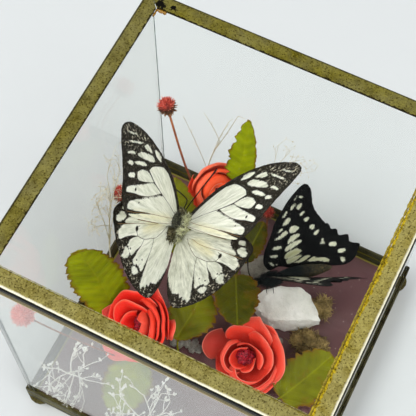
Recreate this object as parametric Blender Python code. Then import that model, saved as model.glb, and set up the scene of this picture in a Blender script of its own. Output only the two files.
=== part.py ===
"""Two mounted butterflies with roses, leaves and sprigs, fixed in a square glass box.

The origin is under the middle of the box, at the height where its feet stand. +X runs to
the right along the front wall and +Y from the front to the back. Pieces are drawn in
millimetres, in the box's own frame, and become metres when they are finished.
"""

import math
import random

import bmesh
import bpy
from mathutils import Matrix, Vector

for old in list(bpy.data.objects):
    bpy.data.objects.remove(old, do_unlink=True)

MM = 0.001

# Driving dimensions of the case, in millimetres
SIDE = 130.0            # square case, over the brass
TOP = 152.3             # top face of the lid strips
FOOT = 5.0              # lower face of the bottom strips
BAND = 11.7             # upright flange of a bottom strip
STRIP = 6.7             # flat flange of a strip
LID_FLANGE = 7.5        # upright flange of a lid strip
SHEET = 0.8             # brass sheet
FOLD = 1.5              # outer radius of the folded edge
GLASS = 2.0             # pane
BOARD = 4.9             # base board
GAP = 0.3               # clearance between two pieces that touch
MITRE = 0.25            # each strip stops this far short of its corner's diagonal

HALF = SIDE / 2
PANE = HALF - SHEET - GAP               # outer face of the walls
INSIDE = PANE - GLASS                   # inner face of the walls
WALL_LOW = FOOT + SHEET + GAP
LID_HIGH = TOP - SHEET - GAP            # top face of the lid pane
WALL_HIGH = LID_HIGH - GLASS - GAP
FLOOR = WALL_LOW + BOARD                # top face of the base board
REST = FLOOR + GAP                      # where the arrangement stands

# The two butterflies: wing hinge, then the body's forward, left and up directions
WHITE_HINGE = Vector((-27.9, 13.9, 68.0))
WHITE_AXES = (Vector((-0.156, 0.957, -0.246)), Vector((-0.978, -0.114, 0.177)),
              Vector((0.141, 0.268, 0.953)))
DARK_HINGE = Vector((10.9, 26.3, 35.0))
DARK_AXES = (Vector((-0.737, -0.675, 0.032)), Vector((0.664, -0.715, 0.219)),
             Vector((-0.125, 0.183, 0.975)))
DARK_BODY = (Vector((-0.80, -0.60, 0.0)), Vector((0.60, -0.80, 0.0)), Vector((0.0, 0.0, 1.0)))
WING = 0.4              # thickness of a wing
LEAF = 0.4              # thickness of a leaf
PETAL = 0.7             # thickness of a petal


def material(name, colour, roughness, metallic=0.0, transmission=0.0):
    made = bpy.data.materials.new(name)
    made.use_nodes = True
    shader = made.node_tree.nodes["Principled BSDF"]
    shader.inputs["Base Color"].default_value = (*colour, 1.0)
    shader.inputs["Roughness"].default_value = roughness
    shader.inputs["Metallic"].default_value = metallic
    shader.inputs["Transmission Weight"].default_value = transmission
    return made


BRASS = material("brass", (0.30, 0.25, 0.09), 0.35, 1.0)
CLEAR = material("glass", (0.90, 0.94, 0.92), 0.02, 0.0, 1.0)
BOARD_FINISH = material("board", (0.09, 0.04, 0.045), 0.7)
PALE_WING = material("pale_wing", (0.72, 0.71, 0.60), 0.6)
DARK_WING = material("dark_wing", (0.05, 0.05, 0.035), 0.6)
BODY = material("body", (0.10, 0.11, 0.08), 0.8)
ROSE = material("rose", (0.62, 0.05, 0.035), 0.6)
GREEN = material("leaf", (0.21, 0.23, 0.01), 0.5)
STEM = material("stem", (0.10, 0.08, 0.03), 0.7)
BROWN = material("seed_head", (0.22, 0.03, 0.015), 0.8)
WHITE_STONE = material("white_stone", (0.60, 0.58, 0.52), 0.6)
GREY_STONE = material("grey_stone", (0.20, 0.20, 0.18), 0.7)
MOSS = material("moss", (0.13, 0.11, 0.03), 0.9)
TWIG = material("twig", (0.62, 0.60, 0.52), 0.7)


def finish(name, bm, look, smooth=True, sharp_angle=40.0):
    """Close a bmesh drawn in millimetres into a finished object in metres."""
    bmesh.ops.recalc_face_normals(bm, faces=bm.faces[:])
    bmesh.ops.scale(bm, vec=(MM, MM, MM), verts=bm.verts[:])
    mesh = bpy.data.meshes.new(name)
    bm.to_mesh(mesh)
    bm.free()
    if smooth:
        mesh.shade_smooth()
        mesh.set_sharp_from_angle(angle=math.radians(sharp_angle))
    mesh.materials.append(look)
    made = bpy.data.objects.new(name, mesh)
    bpy.context.scene.collection.objects.link(made)
    return made


def fuse(parts):
    """One closed bmesh from overlapping closed ones, by Boolean unions."""
    objects = []
    for part in parts:
        bmesh.ops.recalc_face_normals(part, faces=part.faces[:])
        mesh = bpy.data.meshes.new("part")
        part.to_mesh(mesh)
        part.free()
        piece = bpy.data.objects.new("part", mesh)
        bpy.context.scene.collection.objects.link(piece)
        objects.append(piece)
    first = objects[0]
    for other in objects[1:]:
        union = first.modifiers.new("union", "BOOLEAN")
        union.operation = "UNION"
        union.solver = "EXACT"
        union.object = other
    graph = bpy.context.evaluated_depsgraph_get()
    fused = bmesh.new()
    fused.from_mesh(first.evaluated_get(graph).data)
    for piece in objects:
        bpy.data.objects.remove(piece, do_unlink=True)
    return fused


def shifted(bm, matrix):
    bmesh.ops.transform(bm, matrix=matrix, verts=bm.verts[:])
    return bm


def frame_at(point, x_axis, y_axis, z_axis):
    """A matrix that takes local X, Y and Z to the given directions at a point."""
    turn = Matrix((x_axis, y_axis, z_axis)).transposed().to_4x4()
    return Matrix.Translation(point) @ turn


def facing(point, axis):
    """A matrix that turns local +Z along an axis, at a point."""
    return Matrix.Translation(point) @ Vector(axis).to_track_quat("Z", "Y").to_matrix().to_4x4()


def box(low, high):
    bm = bmesh.new()
    low, high = Vector(low), Vector(high)
    bmesh.ops.create_cube(bm, size=1.0)
    bmesh.ops.scale(bm, vec=high - low, verts=bm.verts[:])
    bmesh.ops.translate(bm, vec=(low + high) / 2, verts=bm.verts[:])
    return bm


def turned(profile, steps):
    """A closed body turned about Z from (radius, height) pairs that start and end on the axis."""
    bm = bmesh.new()
    verts = [bm.verts.new((radius, 0, height)) for radius, height in profile]
    edges = [bm.edges.new(pair) for pair in zip(verts, verts[1:])]
    bmesh.ops.spin(bm, geom=verts + edges, cent=(0, 0, 0), axis=(0, 0, 1), angle=math.tau,
                   steps=steps, use_merge=True)
    bmesh.ops.remove_doubles(bm, verts=bm.verts[:], dist=0.001)
    return bm


def ellipsoid(centre, radii, axes=None, segments=10, rings=6):
    """A ball stretched to three radii along the given directions."""
    bm = bmesh.new()
    bmesh.ops.create_uvsphere(bm, u_segments=segments, v_segments=rings, radius=1.0)
    bmesh.ops.scale(bm, vec=radii, verts=bm.verts[:])
    axes = axes or (Vector((1, 0, 0)), Vector((0, 1, 0)), Vector((0, 0, 1)))
    return shifted(bm, frame_at(Vector(centre), *axes))


def tube(points, radii, sides_level=0):
    """A capped tube along points; level 0 gives 4 sides and level 1 gives 6."""
    curve = bpy.data.curves.new("tube", "CURVE")
    curve.dimensions = "3D"
    curve.bevel_depth = 1.0
    curve.bevel_resolution = sides_level
    curve.use_fill_caps = True
    spline = curve.splines.new("POLY")
    spline.points.add(len(points) - 1)
    for place, (point, radius) in enumerate(zip(points, radii)):
        spline.points[place].co = (*point, 1.0)
        spline.points[place].radius = radius
    holder = bpy.data.objects.new("tube", curve)
    bpy.context.scene.collection.objects.link(holder)
    graph = bpy.context.evaluated_depsgraph_get()
    mesh = bpy.data.meshes.new_from_object(holder.evaluated_get(graph))
    bm = bmesh.new()
    bm.from_mesh(mesh)
    bmesh.ops.remove_doubles(bm, verts=bm.verts[:], dist=0.001)
    bpy.data.objects.remove(holder, do_unlink=True)
    return bm


def smooth_path(points, steps):
    """Points on a smooth curve through the given ones, with steps to each stretch."""
    points = [Vector(point) for point in points]
    ends = [points[0] * 2 - points[1]] + points + [points[-1] * 2 - points[-2]]
    path = []
    for before, start, end, after in zip(ends, ends[1:], ends[2:], ends[3:]):
        for step in range(steps):
            t = step / steps
            path.append(0.5 * ((2 * start) + (end - before) * t
                               + (2 * before - 5 * start + 4 * end - after) * t ** 2
                               + (3 * start - before - 3 * end + after) * t ** 3))
    return path + [points[-1]]


# The glass box

def fold_arc(radius, inset, height, outward):
    """Quarter circle of the folded edge, as (inward, height) pairs, from the side to the flat."""
    steps = 3
    arc = []
    for step in range(steps + 1):
        angle = math.pi / 2 * step / steps
        arc.append((inset + radius * (1 - math.cos(angle)),
                    height + outward * radius * math.sin(angle)))
    return arc


def strip_profile(edge, turn_up, tall, wide):
    """L section of a strip: edge is the height of its flat face, turn_up is +1 for the base."""
    outer = fold_arc(FOLD, 0.0, edge + turn_up * FOLD, -turn_up)
    inner = fold_arc(FOLD - SHEET, SHEET, edge + turn_up * FOLD, -turn_up)
    end = [(wide, edge), (wide, edge + turn_up * SHEET)]
    return [(0.0, edge + turn_up * tall)] + outer + end + inner[::-1] + [(SHEET, edge + turn_up * tall)]


def mitred_strip(name, profile, quarter):
    """One side of the square frame, its ends cut to the corners' diagonals."""
    bm = bmesh.new()
    section = bm.faces.new([bm.verts.new((-1, inward - HALF, height)) for inward, height in profile])
    made = bmesh.ops.extrude_face_region(bm, geom=[section], use_keep_orig=True)
    for vert in [item for item in made["geom"] if isinstance(item, bmesh.types.BMVert)]:
        vert.co.x = 1
    for vert in bm.verts:
        vert.co.x *= -vert.co.y - MITRE
    bmesh.ops.rotate(bm, cent=(0, 0, 0), matrix=Matrix.Rotation(quarter * math.pi / 2, 3, "Z"),
                     verts=bm.verts[:])
    return finish(name, bm, BRASS, sharp_angle=35.0)


SIDES = ("front", "right", "back", "left")
for quarter, side in enumerate(SIDES):
    mitred_strip("lid_strip_" + side, strip_profile(TOP, -1, LID_FLANGE, STRIP), quarter)
    mitred_strip("base_strip_" + side, strip_profile(FOOT, 1, BAND, STRIP), quarter)

for side, sign in (("front", -1), ("back", 1)):
    near, far = sorted((sign * INSIDE, sign * PANE))
    finish("glass_" + side, box((-PANE, near, WALL_LOW), (PANE, far, WALL_HIGH)), CLEAR, False)
for side, sign in (("left", -1), ("right", 1)):
    near, far = sorted((sign * INSIDE, sign * PANE))
    end = INSIDE - GAP
    finish("glass_" + side, box((near, -end, WALL_LOW), (far, end, WALL_HIGH)), CLEAR, False)
finish("glass_lid", box((-PANE, -PANE, LID_HIGH - GLASS), (PANE, PANE, LID_HIGH)), CLEAR, False)
BOARD_HALF = INSIDE - GAP
finish("base_board", box((-BOARD_HALF, -BOARD_HALF, WALL_LOW), (BOARD_HALF, BOARD_HALF, FLOOR)),
       BOARD_FINISH, False)

FOOT_RADIUS = 5.5
FOOT_FLAT = 1.8
FOOT_PLACE = 61.0


def foot_profile():
    """Half-ball foot with a small flat under it, and a flat top below the strips."""
    steps = 4
    high = FOOT - GAP
    profile = [(0, 0)]
    for step in range(steps + 1):
        angle = math.pi / 2 * step / steps
        profile.append((FOOT_FLAT + (FOOT_RADIUS - FOOT_FLAT) * math.sin(angle),
                        high * (1 - math.cos(angle))))
    return profile + [(0, high)]


for name, x, y in (("front_left", -1, -1), ("front_right", 1, -1), ("back_right", 1, 1),
                   ("back_left", -1, 1)):
    foot = turned(foot_profile(), 16)
    finish("foot_" + name, shifted(foot, Matrix.Translation((x * FOOT_PLACE, y * FOOT_PLACE, 0))), BRASS)


# The butterflies

# Wing outlines as (forward, outward) from the hinge, for a wing laid flat
WHITE_FOREWING = ((1.2, 2.4), (6.0, 3.4), (9.5, 7.5), (13.5, 13.0), (17.2, 20.0), (19.6, 28.0),
                  (20.2, 36.0), (19.6, 43.5), (18.0, 49.5), (15.8, 54.0), (12.8, 56.6), (9.8, 57.0),
                  (6.5, 55.2), (2.5, 52.5), (-2.8, 48.5), (-8.0, 45.2), (-13.0, 43.0), (-16.5, 40.5),
                  (-18.5, 37.2), (-13.0, 28.0), (-7.0, 16.5), (-2.0, 7.0))
WHITE_HINDWING = ((-4.5, 3.0), (-2.5, 9.0), (-3.0, 17.0), (-6.5, 27.0), (-11.5, 34.8), (-16.5, 38.2),
                  (-21.5, 37.2), (-28.0, 33.4), (-33.5, 29.4), (-38.0, 24.8), (-41.0, 19.4),
                  (-42.3, 13.0), (-41.0, 9.2), (-37.0, 6.3), (-31.0, 4.4), (-23.0, 3.0), (-14.0, 2.2))
DARK_FOREWING = ((1.1, 1.8), (2.7, 5.1), (2.3, 8.4), (1.2, 11.3), (-1.8, 16.5), (-5.3, 22.9),
                 (-8.8, 27.1), (-13.1, 31.8), (-17.9, 35.6), (-20.7, 37.1), (-22.7, 36.5), (-23.7, 34.3),
                 (-23.7, 31.0), (-23.5, 27.7), (-24.3, 23.9), (-26.2, 20.1), (-28.2, 16.5), (-29.3, 13.8),
                 (-20.0, 9.0), (-10.0, 4.6), (-2.0, 1.8))
DARK_HINDWING = ((-4.0, 2.6), (-11.0, 8.0), (-20.0, 13.6), (-28.0, 16.4), (-29.5, 16.0), (-30.4, 13.5),
                 (-32.7, 12.8), (-33.5, 9.8), (-37.5, 9.0), (-37.9, 5.3), (-42.4, 3.2), (-41.1, 0.0),
                 (-39.6, -2.7), (-36.4, -4.7), (-32.7, -5.0), (-25.6, -3.6), (-18.0, -2.6),
                 (-12.0, -1.2), (-6.0, 1.2))


def raised_wing(hinge, axes, side, raised, swept, root):
    """Where a wing lies: its hinge point and its forward, outward and upper directions.

    side is 1 for the left wing and -1 for the right; root moves it (forward, outward).
    """
    forward, left, up = axes
    outward = side * math.cos(raised) * left + math.sin(raised) * up
    upper = math.cos(raised) * up - side * math.sin(raised) * left
    along = math.cos(swept) * forward + math.sin(swept) * outward
    across = -math.sin(swept) * forward + math.cos(swept) * outward
    return hinge + root[0] * forward + root[1] * outward, along, across, upper


def wing(name, outline, place, under, camber, look):
    """A thin wing: its outline cut on a grid, thickened, bowed a little and set in place.

    under is how far it lies below the hinge plane, so that a hindwing clears its forewing.
    """
    bm = bmesh.new()
    bm.faces.new([bm.verts.new((x, y, 0)) for x, y in outline])
    grid = 11
    for axis in ((1, 0, 0), (0, 1, 0)):
        for cut in range(-55, 60, grid):
            geometry = bm.verts[:] + bm.edges[:] + bm.faces[:]
            bmesh.ops.bisect_plane(bm, geom=geometry, plane_co=Vector(axis) * cut, plane_no=axis)
    made = bmesh.ops.extrude_face_region(bm, geom=bm.faces[:], use_keep_orig=True)
    raised_verts = [item for item in made["geom"] if isinstance(item, bmesh.types.BMVert)]
    bmesh.ops.translate(bm, vec=(0, 0, WING), verts=raised_verts)
    reach = max(y for x, y in outline)
    for vert in bm.verts:
        vert.co.z += camber * math.sin(math.pi * min(max(vert.co.y / reach, 0.0), 1.0)) - under
    return finish(name, shifted(bm, frame_at(*place)), look, False)


def body_point(hinge, axes, point):
    return hinge + sum((value * axis for value, axis in zip(point, axes)), Vector())


def insect_body(name, hinge, axes, centre, chest, head, tail, feelers, feet):
    """Thorax, head and abdomen with the feelers and legs, fused as they grew.

    centre is the thorax in (forward, left, up); chest, head and tail are each a
    (forward offset, up offset, length radius, width radius); feelers and feet are end
    points in the box's frame.
    """
    parts = []
    middle = Vector(centre)
    for offset, rise, long_radius, wide_radius in (chest, head, tail):
        at = body_point(hinge, axes, middle + Vector((offset, 0, rise)))
        parts.append(ellipsoid(at, (long_radius, wide_radius, wide_radius), axes))
    brow = middle + Vector((head[0] + 0.6, 0, head[1]))
    for sign, path in zip((1, -1), feelers):
        start = body_point(hinge, axes, brow + Vector((0, 0.5 * sign, 0.3)))
        parts.append(tube([start] + [Vector(point) for point in path], (0.22, 0.2, 0.45), 0))
    for place, (sign, end) in enumerate(feet):
        start = body_point(hinge, axes, middle + Vector((2.5 - 2.5 * (place // 2), sign * 1.2, -1.0)))
        parts.append(tube([start, (start + Vector(end)) / 2 + Vector((0, 0, 0.8)), Vector(end)],
                          (0.4, 0.3, 0.22), 0))
    return finish(name, fuse(parts), BODY)


insect_body("white_butterfly_body", WHITE_HINGE, WHITE_AXES, (0.0, 0.0, -1.2),
            (0.0, 0.0, 6.8, 3.1), (7.6, -0.4, 1.9, 1.7), (-13.5, -1.6, 10.5, 2.0),
            (((-32.4, 25.6, 71.5), (-36.8, 27.5, 74.5)), ((-27.8, 33.0, 72.5), (-24.5, 43.1, 76.0))),
            ((1, (-30.5, 17.5, 63.2)), (-1, (-25.3, 17.5, 63.2)), (1, (-30.2, 12.5, 63.6)),
             (-1, (-25.0, 12.0, 63.6))))
WHITE_WINGS = (("forewing_left", WHITE_FOREWING, 1, 52.5, 9.1, (-0.5, 0.8), 0.0),
               ("forewing_right", WHITE_FOREWING, -1, 49.3, -8.0, (0.2, 1.0), 0.0),
               ("hindwing_left", WHITE_HINDWING, 1, 42.4, 12.1, (3.5, 2.1), 0.3),
               ("hindwing_right", WHITE_HINDWING, -1, 42.6, -12.1, (-4.1, -0.5), 0.3))
for name, outline, side, raised, swept, root, under in WHITE_WINGS:
    place = raised_wing(WHITE_HINGE, WHITE_AXES, side, math.radians(raised), math.radians(swept), root)
    wing("white_" + name, outline, place, under, 0.8, PALE_WING)

insect_body("dark_butterfly_body", Vector((12.2, 24.3, 33.0)), DARK_BODY, (0.0, 0.0, 0.0),
            (0.0, 0.0, 5.6, 2.5), (6.6, -0.2, 1.5, 1.4), (-17.0, -0.2, 13.0, 1.8),
            (((2.5, 21.0, 36.5), (-0.5, 25.5, 40.0)), ((4.0, 15.5, 36.0), (2.0, 12.5, 38.0))),
            ((1, (12.5, 18.8, 29.6)), (-1, (6.0, 24.8, 29.6)), (1, (15.5, 20.0, 29.6)),
             (-1, (8.5, 28.0, 29.6))))
DARK_RIGHT = raised_wing(DARK_HINGE, DARK_AXES, -1, math.radians(57.0), 0.0, (0.0, 0.0))
# The left pair fell open towards the front wall, so its plane is nearly upright
DARK_LEFT = (Vector((12.8, 22.2, 33.4)), Vector((-0.894, -0.449, 0.0)), Vector((0.199, -0.396, 0.896)),
             Vector((-0.402, 0.801, 0.443)))
for side, place in (("left", DARK_LEFT), ("right", DARK_RIGHT)):
    wing("dark_forewing_" + side, DARK_FOREWING, place, 0.0, 0.6, DARK_WING)
    wing("dark_hindwing_" + side, DARK_HINDWING, place, 0.8, 0.6, DARK_WING)


# The flowers and leaves

def petal(turn, spread, base, rim, low, high, flare, drop):
    """One curved petal of a rose, as a closed thick shell about local +Z.

    It stands from the base radius at height low to the rim radius at height high, turned
    about the axis, and its corners drop.
    """
    bm = bmesh.new()
    across, upward = 4, 2
    bmesh.ops.create_grid(bm, x_segments=across, y_segments=upward, size=1.0)
    made = bmesh.ops.extrude_face_region(bm, geom=bm.faces[:], use_keep_orig=True)
    outer = {item for item in made["geom"] if isinstance(item, bmesh.types.BMVert)}
    for vert in bm.verts:
        u, v = vert.co.x, (vert.co.y + 1) / 2
        radius = base + (rim - base) * math.sin(v * math.pi / 2) ** 0.8 + flare * v ** 4
        radius += PETAL if vert in outer else 0.0
        angle = turn + spread * u * (0.6 + 0.4 * math.sqrt(v))
        height = low + (high - low) * v - drop * abs(u) ** 2.5 * v
        vert.co = (radius * math.cos(angle), radius * math.sin(angle), height)
    return bm


def rose(name, centre, axis, radius, seed, extra=()):
    """An open rose: a hollow heart, three rings of petals and the receptacle under them."""
    rng = random.Random(seed)
    heart = [(0, 0.05), (0.20, 0.08), (0.24, 0.48), (0.29, 0.52), (0.34, 0.45), (0.36, -0.2),
             (0.20, -0.62), (0, -0.66)]
    parts = [turned([(r * radius, z * radius) for r, z in heart], 8)]
    rings = ((2, 0.48, 0.50, 1.45, 0.04), (3, 0.72, 0.44, 1.10, 0.06), (4, 0.93, 0.28, 0.92, 0.08))
    for count, rim, high, spread, flare in rings:
        start = rng.uniform(0, math.tau)
        for place in range(count):
            turn = start + math.tau * place / count + rng.uniform(-0.1, 0.1)
            size = rng.uniform(0.96, 1.03)
            foot = rng.uniform(-0.55, -0.48) * radius
            parts.append(petal(turn, spread, rng.uniform(0.08, 0.12) * radius,
                               rim * size * radius - PETAL, foot, high * size * radius,
                               flare * radius, 0.16 * radius))
    for turn, rim, high, spread in extra:
        parts.append(petal(turn, spread, 0.1 * radius, rim * radius, -0.53 * radius, high * radius,
                           0.05 * radius, 0.25 * radius))
    return finish(name, shifted(fuse(parts), facing(centre, axis)), ROSE)


rose("rose_front", (19.0, -9.5, 24.0), (-0.05, -0.60, 0.80), 16.5, 3, ((2.9, 1.25, 0.15, 0.5),))
rose("rose_left", (-30.0, -19.9, 42.0), (-0.28, -0.56, 0.78), 17.0, 5)
rose("rose_back", (-26.0, 45.0, 52.0), (0.10, -0.30, 0.95), 12.5, 7)


def stem(name, points, radius, look=STEM):
    path = smooth_path(points, 3)
    return finish(name, tube(path, [radius] * len(path), 1), look)


stem("rose_stem_left", ((-29.0, -14.5, 30.0), (-28.0, -13.0, 21.0), (-28.0, -12.5, REST)), 1.2)
stem("rose_stem_back", ((-27.0, 48.0, 42.0), (-27.5, 48.5, 28.0), (-27.0, 48.0, REST)), 1.2)


def leaf(name, base, tip, over, width, blunt, skew, bow, fold, stalk, serration=0.05):
    """A leaf blade from base to tip, with a midrib fold, toothed edges and its stalk.

    over is the side that its upper face looks to; bow lifts the middle of the midrib and
    fold lifts the edges; stalk lists the points that lead away from the base.
    """
    base, tip = Vector(base), Vector(tip)
    along = (tip - base).normalized()
    across = Vector(over).cross(along).normalized()
    upper = along.cross(across)
    length = (tip - base).length
    bm = bmesh.new()
    stations = 9
    bmesh.ops.create_grid(bm, x_segments=stations, y_segments=2, size=1.0)
    made = bmesh.ops.extrude_face_region(bm, geom=bm.faces[:], use_keep_orig=True)
    raised = {item for item in made["geom"] if isinstance(item, bmesh.types.BMVert)}
    for vert in bm.verts:
        t, u = (vert.co.x + 1) / 2, vert.co.y
        tooth = 1 + serration * (-1) ** round(t * stations)
        half = max(width * math.sin(math.pi * min(max(t, 0.02), 0.98) ** skew) ** blunt * tooth, 0.3)
        lift = bow * math.sin(math.pi * t) + fold * abs(u) * half / width
        lift += LEAF if vert in raised else 0.0
        vert.co = (t * length, u * half, lift)
    blade = shifted(bm, frame_at(base, along, across, upper))
    path = smooth_path([base + along * 2.0 + upper * 0.2] + [Vector(point) for point in stalk], 2)
    rib = tube(path, [0.45] * len(path), 0)
    return finish(name, fuse([blade, rib]), GREEN)


UP = (0.19, -0.38, 0.90)            # towards the viewer, where most leaves look
leaf("leaf_left", (-42.5, -14.0, 30.0), (-57.0, -16.0, 80.0), UP, 9.8, 0.42, 1.2, -2.5,
     0.6, ((-42.0, -14.0, 24.0), (-42.0, -14.0, REST)))
leaf("leaf_back_tall", (-16.5, 50.0, 74.0), (-18.0, 59.3, 97.5), (0.2, -0.8, 0.5), 6.0, 0.6, 0.95, 1.0,
     0.8, ((-14.0, 51.0, 68.0), (-9.0, 53.5, 50.0), (-8.0, 54.0, 34.0), (-9.0, 56.0, REST)))
leaf("leaf_under_white", (-24.0, 6.0, 60.0), (-44.0, 40.0, 56.0), UP, 7.0, 0.6, 0.9, 1.5,
     0.6, ((-22.0, 3.0, 52.0), (-21.0, 2.0, 30.0), (-20.5, 2.0, REST)))
leaf("leaf_under_dark", (-2.0, 24.0, 38.0), (-1.0, 44.0, 46.0), UP, 6.0, 0.6, 0.9, 1.0,
     0.6, ((-3.5, 20.5, 30.0), (-5.0, 19.0, REST)))
leaf("leaf_middle_left", (-6.0, -24.0, 31.0), (-19.0, 3.5, 37.0), UP, 8.5, 0.6, 0.8, 1.5,
     0.6, ((-5.0, -27.0, 24.0), (-5.0, -28.0, REST)))
leaf("leaf_middle_right", (-1.0, 15.5, 37.0), (11.0, -3.5, 41.0), UP, 8.5, 0.6, 0.8, 1.5,
     0.6, ((-4.0, 13.0, 30.0), (-5.0, 11.0, REST)))
leaf("leaf_right", (36.5, -20.0, 17.0), (53.0, 5.0, 23.0), UP, 9.0, 0.55, 0.8, 1.5,
     0.6, ((34.5, -24.0, 14.5), (34.0, -26.0, REST)))
leaf("leaf_front", (-22.0, -30.0, 18.0), (-28.0, -57.0, 24.0), UP, 9.5, 0.5, 0.9, 1.5,
     0.6, ((-21.5, -28.0, 15.0), (-21.0, -27.0, REST)))


def seed_head(name, radius, points, seed):
    """A round, prickly flower head on its own thin stem."""
    rng = random.Random(seed)
    ball = bmesh.new()
    bmesh.ops.create_icosphere(ball, subdivisions=2, radius=radius)
    for vert in ball.verts:
        vert.co *= rng.uniform(0.86, 1.1)
    path = smooth_path(points, 3)
    shaft = tube(path, [0.5] * len(path), 0)
    return finish(name, fuse([shifted(ball, Matrix.Translation(points[0])), shaft]), BROWN)


seed_head("seed_head_back", 3.9, ((-52.0, 51.0, 95.0), (-44.6, 46.0, 76.0), (-41.0, 44.8, 62.0),
                                  (-40.0, 47.0, 45.0), (-39.5, 48.0, REST)), 1)
seed_head("seed_head_front", 4.4, ((-55.9, -56.0, 104.0), (-48.8, -50.0, 80.0), (-38.5, -39.5, 42.0),
                                   (-31.5, -30.5, REST)), 2)
seed_head("seed_head_left", 3.9, ((-56.5, 17.0, 70.0), (-57.0, 18.0, 45.0), (-56.0, 20.0, REST)), 3)
seed_head("seed_head_middle", 3.6, ((-1.5, 48.4, 44.0), (-1.5, 48.6, 28.0), (-1.0, 49.0, REST)), 4)


def sprig(name, trunk, tips):
    """A dry white sprig: a thin trunk that forks into straight twigs."""
    path = smooth_path(trunk, 2)
    parts = [tube(path, [0.55 - 0.25 * place / len(path) for place in range(len(path))], 0)]
    for place, tip in enumerate(tips):
        fork = path[-1 - place % 3]
        beyond = (fork - Vector(tip)).normalized() * 0.2
        parts.append(tube([fork + beyond, Vector(tip)], (0.3, 0.2), 0))
    return finish(name, fuse(parts), TWIG)


sprig("sprig_left", ((-59.0, 3.0, REST), (-58.5, 4.0, 40.0), (-57.5, 7.0, 70.0)),
      ((-54.0, 14.0, 99.0), (-58.5, 11.0, 96.0), (-59.5, 2.0, 88.0), (-55.0, 3.0, 86.0),
       (-60.0, 12.0, 78.0), (-59.0, -3.0, 72.0), (-53.5, 9.0, 84.0)))
sprig("sprig_back", ((-45.0, 57.5, REST), (-43.0, 58.0, 45.0), (-36.0, 58.5, 72.0)),
      ((-27.5, 59.8, 92.0), (-33.0, 58.5, 93.0), (-38.0, 57.0, 88.0), (-30.5, 55.5, 82.0),
       (-41.0, 58.5, 84.0), (-28.0, 57.0, 76.0)))
sprig("sprig_back_right", ((-10.0, 58.5, REST), (-8.5, 58.5, 45.0), (-4.0, 58.0, 68.0)),
      ((8.0, 58.5, 86.0), (2.0, 57.0, 92.0), (13.0, 59.5, 78.0), (-3.0, 59.0, 96.0),
       (-6.0, 57.0, 84.0), (5.0, 59.8, 78.0), (10.0, 56.5, 80.0)))
sprig("sprig_front_left", ((-47.5, -43.5, REST + GAP), (-49.0, -46.0, 15.0), (-51.0, -50.0, 21.0)),
      ((-58.0, -50.0, 27.0), (-57.0, -57.0, 24.0), (-51.0, -59.0, 27.0), (-44.0, -57.0, 20.0),
       (-43.0, -50.0, 26.0), (-55.0, -44.0, 25.0), (-46.0, -60.0, 17.0)))
sprig("sprig_front_right", ((-6.5, -50.5, REST + GAP), (-7.5, -53.0, 15.5), (-12.0, -57.0, 26.0)),
      ((-18.0, -60.0, 33.0), (-13.0, -60.0, 36.0), (-6.0, -59.5, 31.0), (-4.0, -56.0, 25.0),
       (-18.0, -59.0, 26.5), (0.0, -58.0, 21.0)))


# The stones, gravel and moss

def stone(name, corners, look):
    """A broken stone: the hull of its hand-placed corners, with its edges eased."""
    bm = bmesh.new()
    for corner in corners:
        bm.verts.new(corner)
    bmesh.ops.convex_hull(bm, input=bm.verts[:])
    loose = [vert for vert in bm.verts if not vert.link_faces]
    bmesh.ops.delete(bm, geom=loose, context="VERTS")
    return finish(name, bm, look, sharp_angle=25.0)


stone("stone_white", ((7.7, 16.2, 24.5), (10.1, 12.5, 23.5), (17.7, 9.5, 22.5), (39.5, 20.7, 22.0),
                      (30.8, 28.0, 25.5), (25.4, 30.0, 27.2), (15.4, 24.8, 28.2), (9.7, 20.2, 27.6),
                      (9.0, 14.0, REST), (18.5, 10.0, REST), (28.0, 12.9, REST), (38.6, 21.7, REST),
                      (30.0, 29.0, REST), (16.0, 26.0, REST), (8.6, 19.5, REST)), WHITE_STONE)
stone("stone_grey", ((-4.5, 27.5, 19.5), (-4.0, 33.5, 22.5), (3.0, 37.0, 25.0), (8.0, 33.0, 23.5),
                     (2.5, 27.0, 20.5), (-4.5, 27.0, REST), (-4.5, 35.0, REST), (4.0, 39.0, REST),
                     (9.5, 34.0, REST), (3.0, 25.5, REST)), GREY_STONE)


def pebbles(name, centres, radius, look, seed):
    """Gravel glued together in a heap, resting flat on the board."""
    rng = random.Random(seed)
    parts = []
    for x, y, z in centres:
        grain = bmesh.new()
        bmesh.ops.create_icosphere(grain, subdivisions=1, radius=1.0)
        size = [radius * rng.uniform(0.85, 1.2) for axis in range(3)]
        turn = Matrix.Rotation(rng.uniform(0, math.tau), 4, "Z")
        parts.append(shifted(grain, Matrix.Translation((x, y, z)) @ turn @ Matrix.Diagonal((*size, 1))))
    heap = fuse(parts)
    cut = bmesh.ops.bisect_plane(heap, geom=heap.verts[:] + heap.edges[:] + heap.faces[:],
                                 plane_co=(0, 0, REST), plane_no=(0, 0, -1), clear_outer=True)
    rim = [item for item in cut["geom_cut"] if isinstance(item, bmesh.types.BMEdge)]
    bmesh.ops.holes_fill(heap, edges=rim, sides=0)
    return finish(name, heap, look, False)


pebbles("gravel_middle", ((-11.0, -13.2, 12.6), (-13.8, -14.9, 12.9), (-8.1, -14.8, 12.9),
                          (-8.2, -11.4, 12.6), (-16.8, -15.6, 12.7), (-5.2, -13.4, 12.8)),
        2.4, GREY_STONE, 21)
pebbles("gravel_right", ((23.2, 5.6, 12.6), (26.0, 6.9, 12.6), (20.6, 6.0, 12.5)), 1.9, GREY_STONE, 22)


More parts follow.
